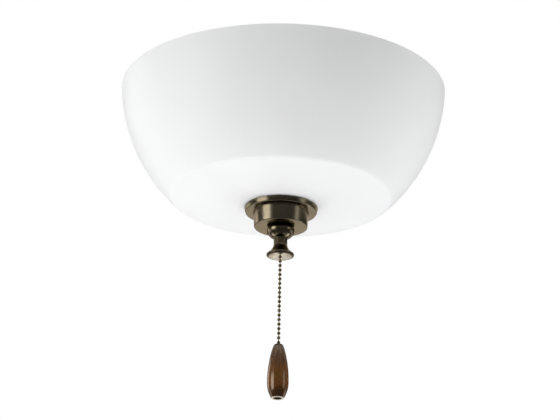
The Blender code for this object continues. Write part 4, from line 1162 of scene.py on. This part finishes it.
CONNECTOR_LENGTH = 0.0150
CONNECTOR_RADIUS = 0.0050
CONNECTOR_TAPER = 0.0017
CONNECTOR_CROWN = 0.0010
RIB_LENGTH = 0.0105
RIB_DEPTH = 0.00022
RIB_COUNT = 16


def make_connector(number, angle):
    low = PLATE_TOP_Z + CONNECTOR_ABOVE_PLATE
    top = low + CONNECTOR_LENGTH
    bore = LEAD_RADIUS + GAP
    shape = [(0, top), (0.0022, top), (0.0031, top - 0.0006)]
    for share in shares(8):
        z = top - CONNECTOR_CROWN - RIB_LENGTH * share
        reach = CONNECTOR_RADIUS - CONNECTOR_TAPER + CONNECTOR_TAPER * (top - z) / CONNECTOR_LENGTH
        depth = RIB_DEPTH if 0 < share < 1 else 0.0
        shape.append(lambda a, r=reach, z=z, d=depth: (r - d * (1 - cos(RIB_COUNT * a)), z))
    shape += [(CONNECTOR_RADIUS, low + 0.0030), (CONNECTOR_RADIUS, low + 0.0004), (0.0046, low), (0.0036, low)]
    shape += [(bore + 0.0004, low + 0.0026), (bore, low + 0.0030), (bore, low + 0.0080), (0, low + 0.0080)]
    place = Matrix.Translation((*around(LEAD_CIRCLE, angle), 0))
    turned(f"connector_ribbed_{number}", shape, 96, f"wire_connector_{number}", place)


ARM_PIECES = (
    ("arm_pipe", "arm_nipple", pipe(-HUB_WALL - ARM_NIPPLE_IN, ARM_NIPPLE_OUT), PIPE_SHARP),
    ("arm_nut_fine", "arm_nut", lathe(pipe_nut(-HUB_WALL - GAP), 96, True), NUT_SHARP),
    ("holder_body", "socket_body", holder_body(), SHARP),
    ("holder_disc", "socket_insulator", holder_disc(), SHARP),
    ("holder_shell", "socket_shell", holder_shell(), SHARP),
    ("holder_contact", "socket_contact", holder_contact(), SHARP),
    ("lamp_screw", "lamp_base", lamp_base(), SHARP),
    ("lamp_globe", "lamp_glass", lamp_globe(), SHARP),
)
for number, (angle, place) in enumerate(zip(ARM_ANGLES, ARM_FRAMES), 1):
    for name, node, shape, sharp in ARM_PIECES:
        piece(f"{name}_{number}", *shape, f"{node}_{number}", place, sharp)
    make_lead(number, angle)
    make_connector(number, angle)


# Floor, reflected sheets, lights and camera
FLOOR_REACH = 14.4
FLOOR_Z = -3.6
FLOOR_GLOW = 0.25
STUDIO = 3.6
SCREEN_END = 0.2
FLAG_END = 6.5
SHEET_Z = -2.19
SCREEN_LOW_Z = -2.2
SCREEN_SPLIT_Z = -0.9
SCREEN_TOP_Z = 3.8
FLAG_LOW_Z = -0.5


def level(outline, z):
    """A flat sheet with this outline at a height."""
    return [(x, y, z) for x, y in outline], [tuple(range(len(outline)))]


def upright(corners, low_z, top_z):
    """A folding screen with these corners."""
    verts = [(x, y, z) for x, y in corners for z in (low_z, top_z)]
    return verts, [(2 * i, 2 * i + 2, 2 * i + 3, 2 * i + 1) for i in range(len(corners) - 1)]


def studio_sheet(name, shape, material_name, tone, roughness):
    mesh = new_mesh(name, *shape)
    sheet = placed(name, mesh)
    material, n = new_material(material_name)
    n.set(Base_Color=(tone, tone, tone), Roughness=roughness)
    mesh.materials.append(material)
    return sheet, n


def make_floor():
    """The pale floor, lifted a little for the camera and for reflections."""
    size = FLOOR_REACH
    shape = level([(-size, -size), (size, -size), (size, size), (-size, size)], FLOOR_Z)
    _, n = studio_sheet("floor", shape, "pale_floor", 0.94, 0.9)
    lift = n.add("Emission", {"Color": WHITE, "Strength": n.product(n.seen_ray(), FLOOR_GLOW)})
    both = n.add("AddShader", {0: n.shader.outputs[0], 1: lift.outputs[0]})
    n.put(n.tree.nodes["Material Output"], "Surface", both.outputs[0])


def dark_sheet(name, shape, tone=0.10):
    """A part of the studio that only reflections show, as polished metal shows its unlit sides."""
    sheet, _ = studio_sheet(name, shape, "dark_cloth", tone, 1.0)
    sheet.visible_camera = False
    sheet.visible_diffuse = False
    sheet.visible_shadow = False


def soft_light(name, place, aim_z, size, power, mirrored=True):
    """A rectangular lamp that the camera doesn't show, aimed at a height on the upright axis."""
    data = bpy.data.lights.new(name, "AREA")
    data.shape = "RECTANGLE"
    data.size, data.size_y = size
    data.energy = power
    lamp = placed(name, data)
    lamp.location = place
    lamp.rotation_mode = "QUATERNION"
    lamp.rotation_quaternion = (Vector((0, 0, aim_z)) - Vector(place)).to_track_quat("-Z", "Y")
    lamp.visible_camera = False
    lamp.visible_glossy = mirrored


def top_light(strength):
    data = bpy.data.lights.new("top_soft", "SUN")
    data.energy = strength
    data.angle = radians(50)
    lamp = placed("top_soft", data)
    lamp.location = (0, 0, 3)
    lamp.rotation_euler = (radians(-8), radians(-10), 0)


def make_world(above, below, left, right, front, back):
    """White to the camera and in reflections; its light has a level for each side of the studio."""
    world = bpy.data.worlds.new("studio")
    bpy.context.scene.world = world
    n = Nodes(world)
    parts = n.add("SeparateXYZ", {0: n.add("TexCoord").outputs["Generated"]}).outputs
    strength = above
    for axis, sign, amount in ((0, -1.0, left), (0, 1.0, right), (1, -1.0, front), (1, 1.0, back)):
        lobe = n.math("MAXIMUM", n.product(parts[axis], sign), 0.0)
        strength = n.math("MULTIPLY_ADD", lobe, amount, strength)
    rise = n.share(parts[2], -0.15, 0.05)
    drop = n.product(n.math("SUBTRACT", 1.0, rise), below)
    light = n.tree.nodes["Background"]
    n.put(light, "Color", WHITE)
    n.put(light, "Strength", n.math("ADD", n.product(strength, rise), drop))
    white = n.add("Background", {0: WHITE, 1: 1.0})
    mix = n.add("MixShader", {0: n.seen_ray(), 1: light.outputs[0], 2: white.outputs[0]})
    n.put(n.tree.nodes["World Output"], "Surface", mix.outputs[0])


CAMERA_PLACE = (-0.0010, -2.1621, -0.9889)
CAMERA_PITCH = radians(21.13)
CAMERA_ROLL = radians(1.1)


def make_camera():
    """The photograph's camera, solved from the rim's ellipse and the chain's bead pitch."""
    data = bpy.data.cameras.new("camera")
    data.lens = 160.5
    data.sensor_width = 36.0
    data.clip_start, data.clip_end = 0.1, 60.0
    camera = placed("camera", data)
    right = Vector((1, 0, 0))
    up = Vector((0, -sin(CAMERA_PITCH), cos(CAMERA_PITCH)))
    back = Vector((0, -cos(CAMERA_PITCH), -sin(CAMERA_PITCH)))
    across = right * cos(CAMERA_ROLL) + up * sin(CAMERA_ROLL)
    upward = up * cos(CAMERA_ROLL) - right * sin(CAMERA_ROLL)
    camera.matrix_world = Matrix([*zip(across, upward, back, CAMERA_PLACE), (0, 0, 0, 1)])
    bpy.context.scene.camera = camera


make_floor()
make_world(0.33, 0.6, left=-0.08, right=0.5, front=-0.18, back=-0.3)
soft_light("left_back", (-2.2, 1.4, 0.35), -0.2, (1.1, 1.2), 8.2)
soft_light("left_strip", (-2.12, -1.15, -0.15), -0.3, (1.4, 1.5), 22.5)
soft_light("right_back", (2.2, 1.4, 0.35), -0.2, (1.1, 1.2), 4.8, mirrored=False)
soft_light("right_strip", (2.4, -0.9, 0.05), -0.3, (0.8, 1.3), 4.5)
top_light(1.45)
SCREEN = [(-STUDIO, SCREEN_END), (-STUDIO, -STUDIO), (STUDIO, -STUDIO), (STUDIO, SCREEN_END)]
dark_sheet("dark_screen", upright(SCREEN, SCREEN_LOW_Z, SCREEN_SPLIT_Z))
dark_sheet("grey_screen", upright(SCREEN, SCREEN_SPLIT_Z, SCREEN_TOP_Z), 0.25)
dark_sheet("dark_flag", upright([(FLAG_END, STUDIO), (-FLAG_END, STUDIO)], FLAG_LOW_Z, SCREEN_TOP_Z))
for name, side in (("left_flag", -1), ("right_flag", 1)):
    corners = [(side * FLAG_END, STUDIO), (side * STUDIO, SCREEN_END)]
    dark_sheet(name, upright(corners, FLAG_LOW_Z, SCREEN_TOP_Z), 0.2)
for side, power in ((-1, 9.5), (1, 11.6)):
    outline = [(side * x, y) for x, y in ((1.1, -0.3), (5.0, -0.3), (5.0, 4.5), (1.1, 4.5))]
    dark_sheet("dark_side_floor", level(outline, SHEET_Z))
    soft_light("low_soft", (side * 1.5, 0.95, -2.1), -0.15, (1.0, 1.0), power)
soft_light("low_back", (0.0, 1.7, -2.1), -0.15, (1.0, 0.8), 2.6)
dark_sheet("dark_floor", level([(-STUDIO, -STUDIO), (STUDIO, -STUDIO), (STUDIO, -0.3), (-STUDIO, -0.3)], SHEET_Z))
make_camera()
bpy.context.scene.view_settings.view_transform = "Standard"
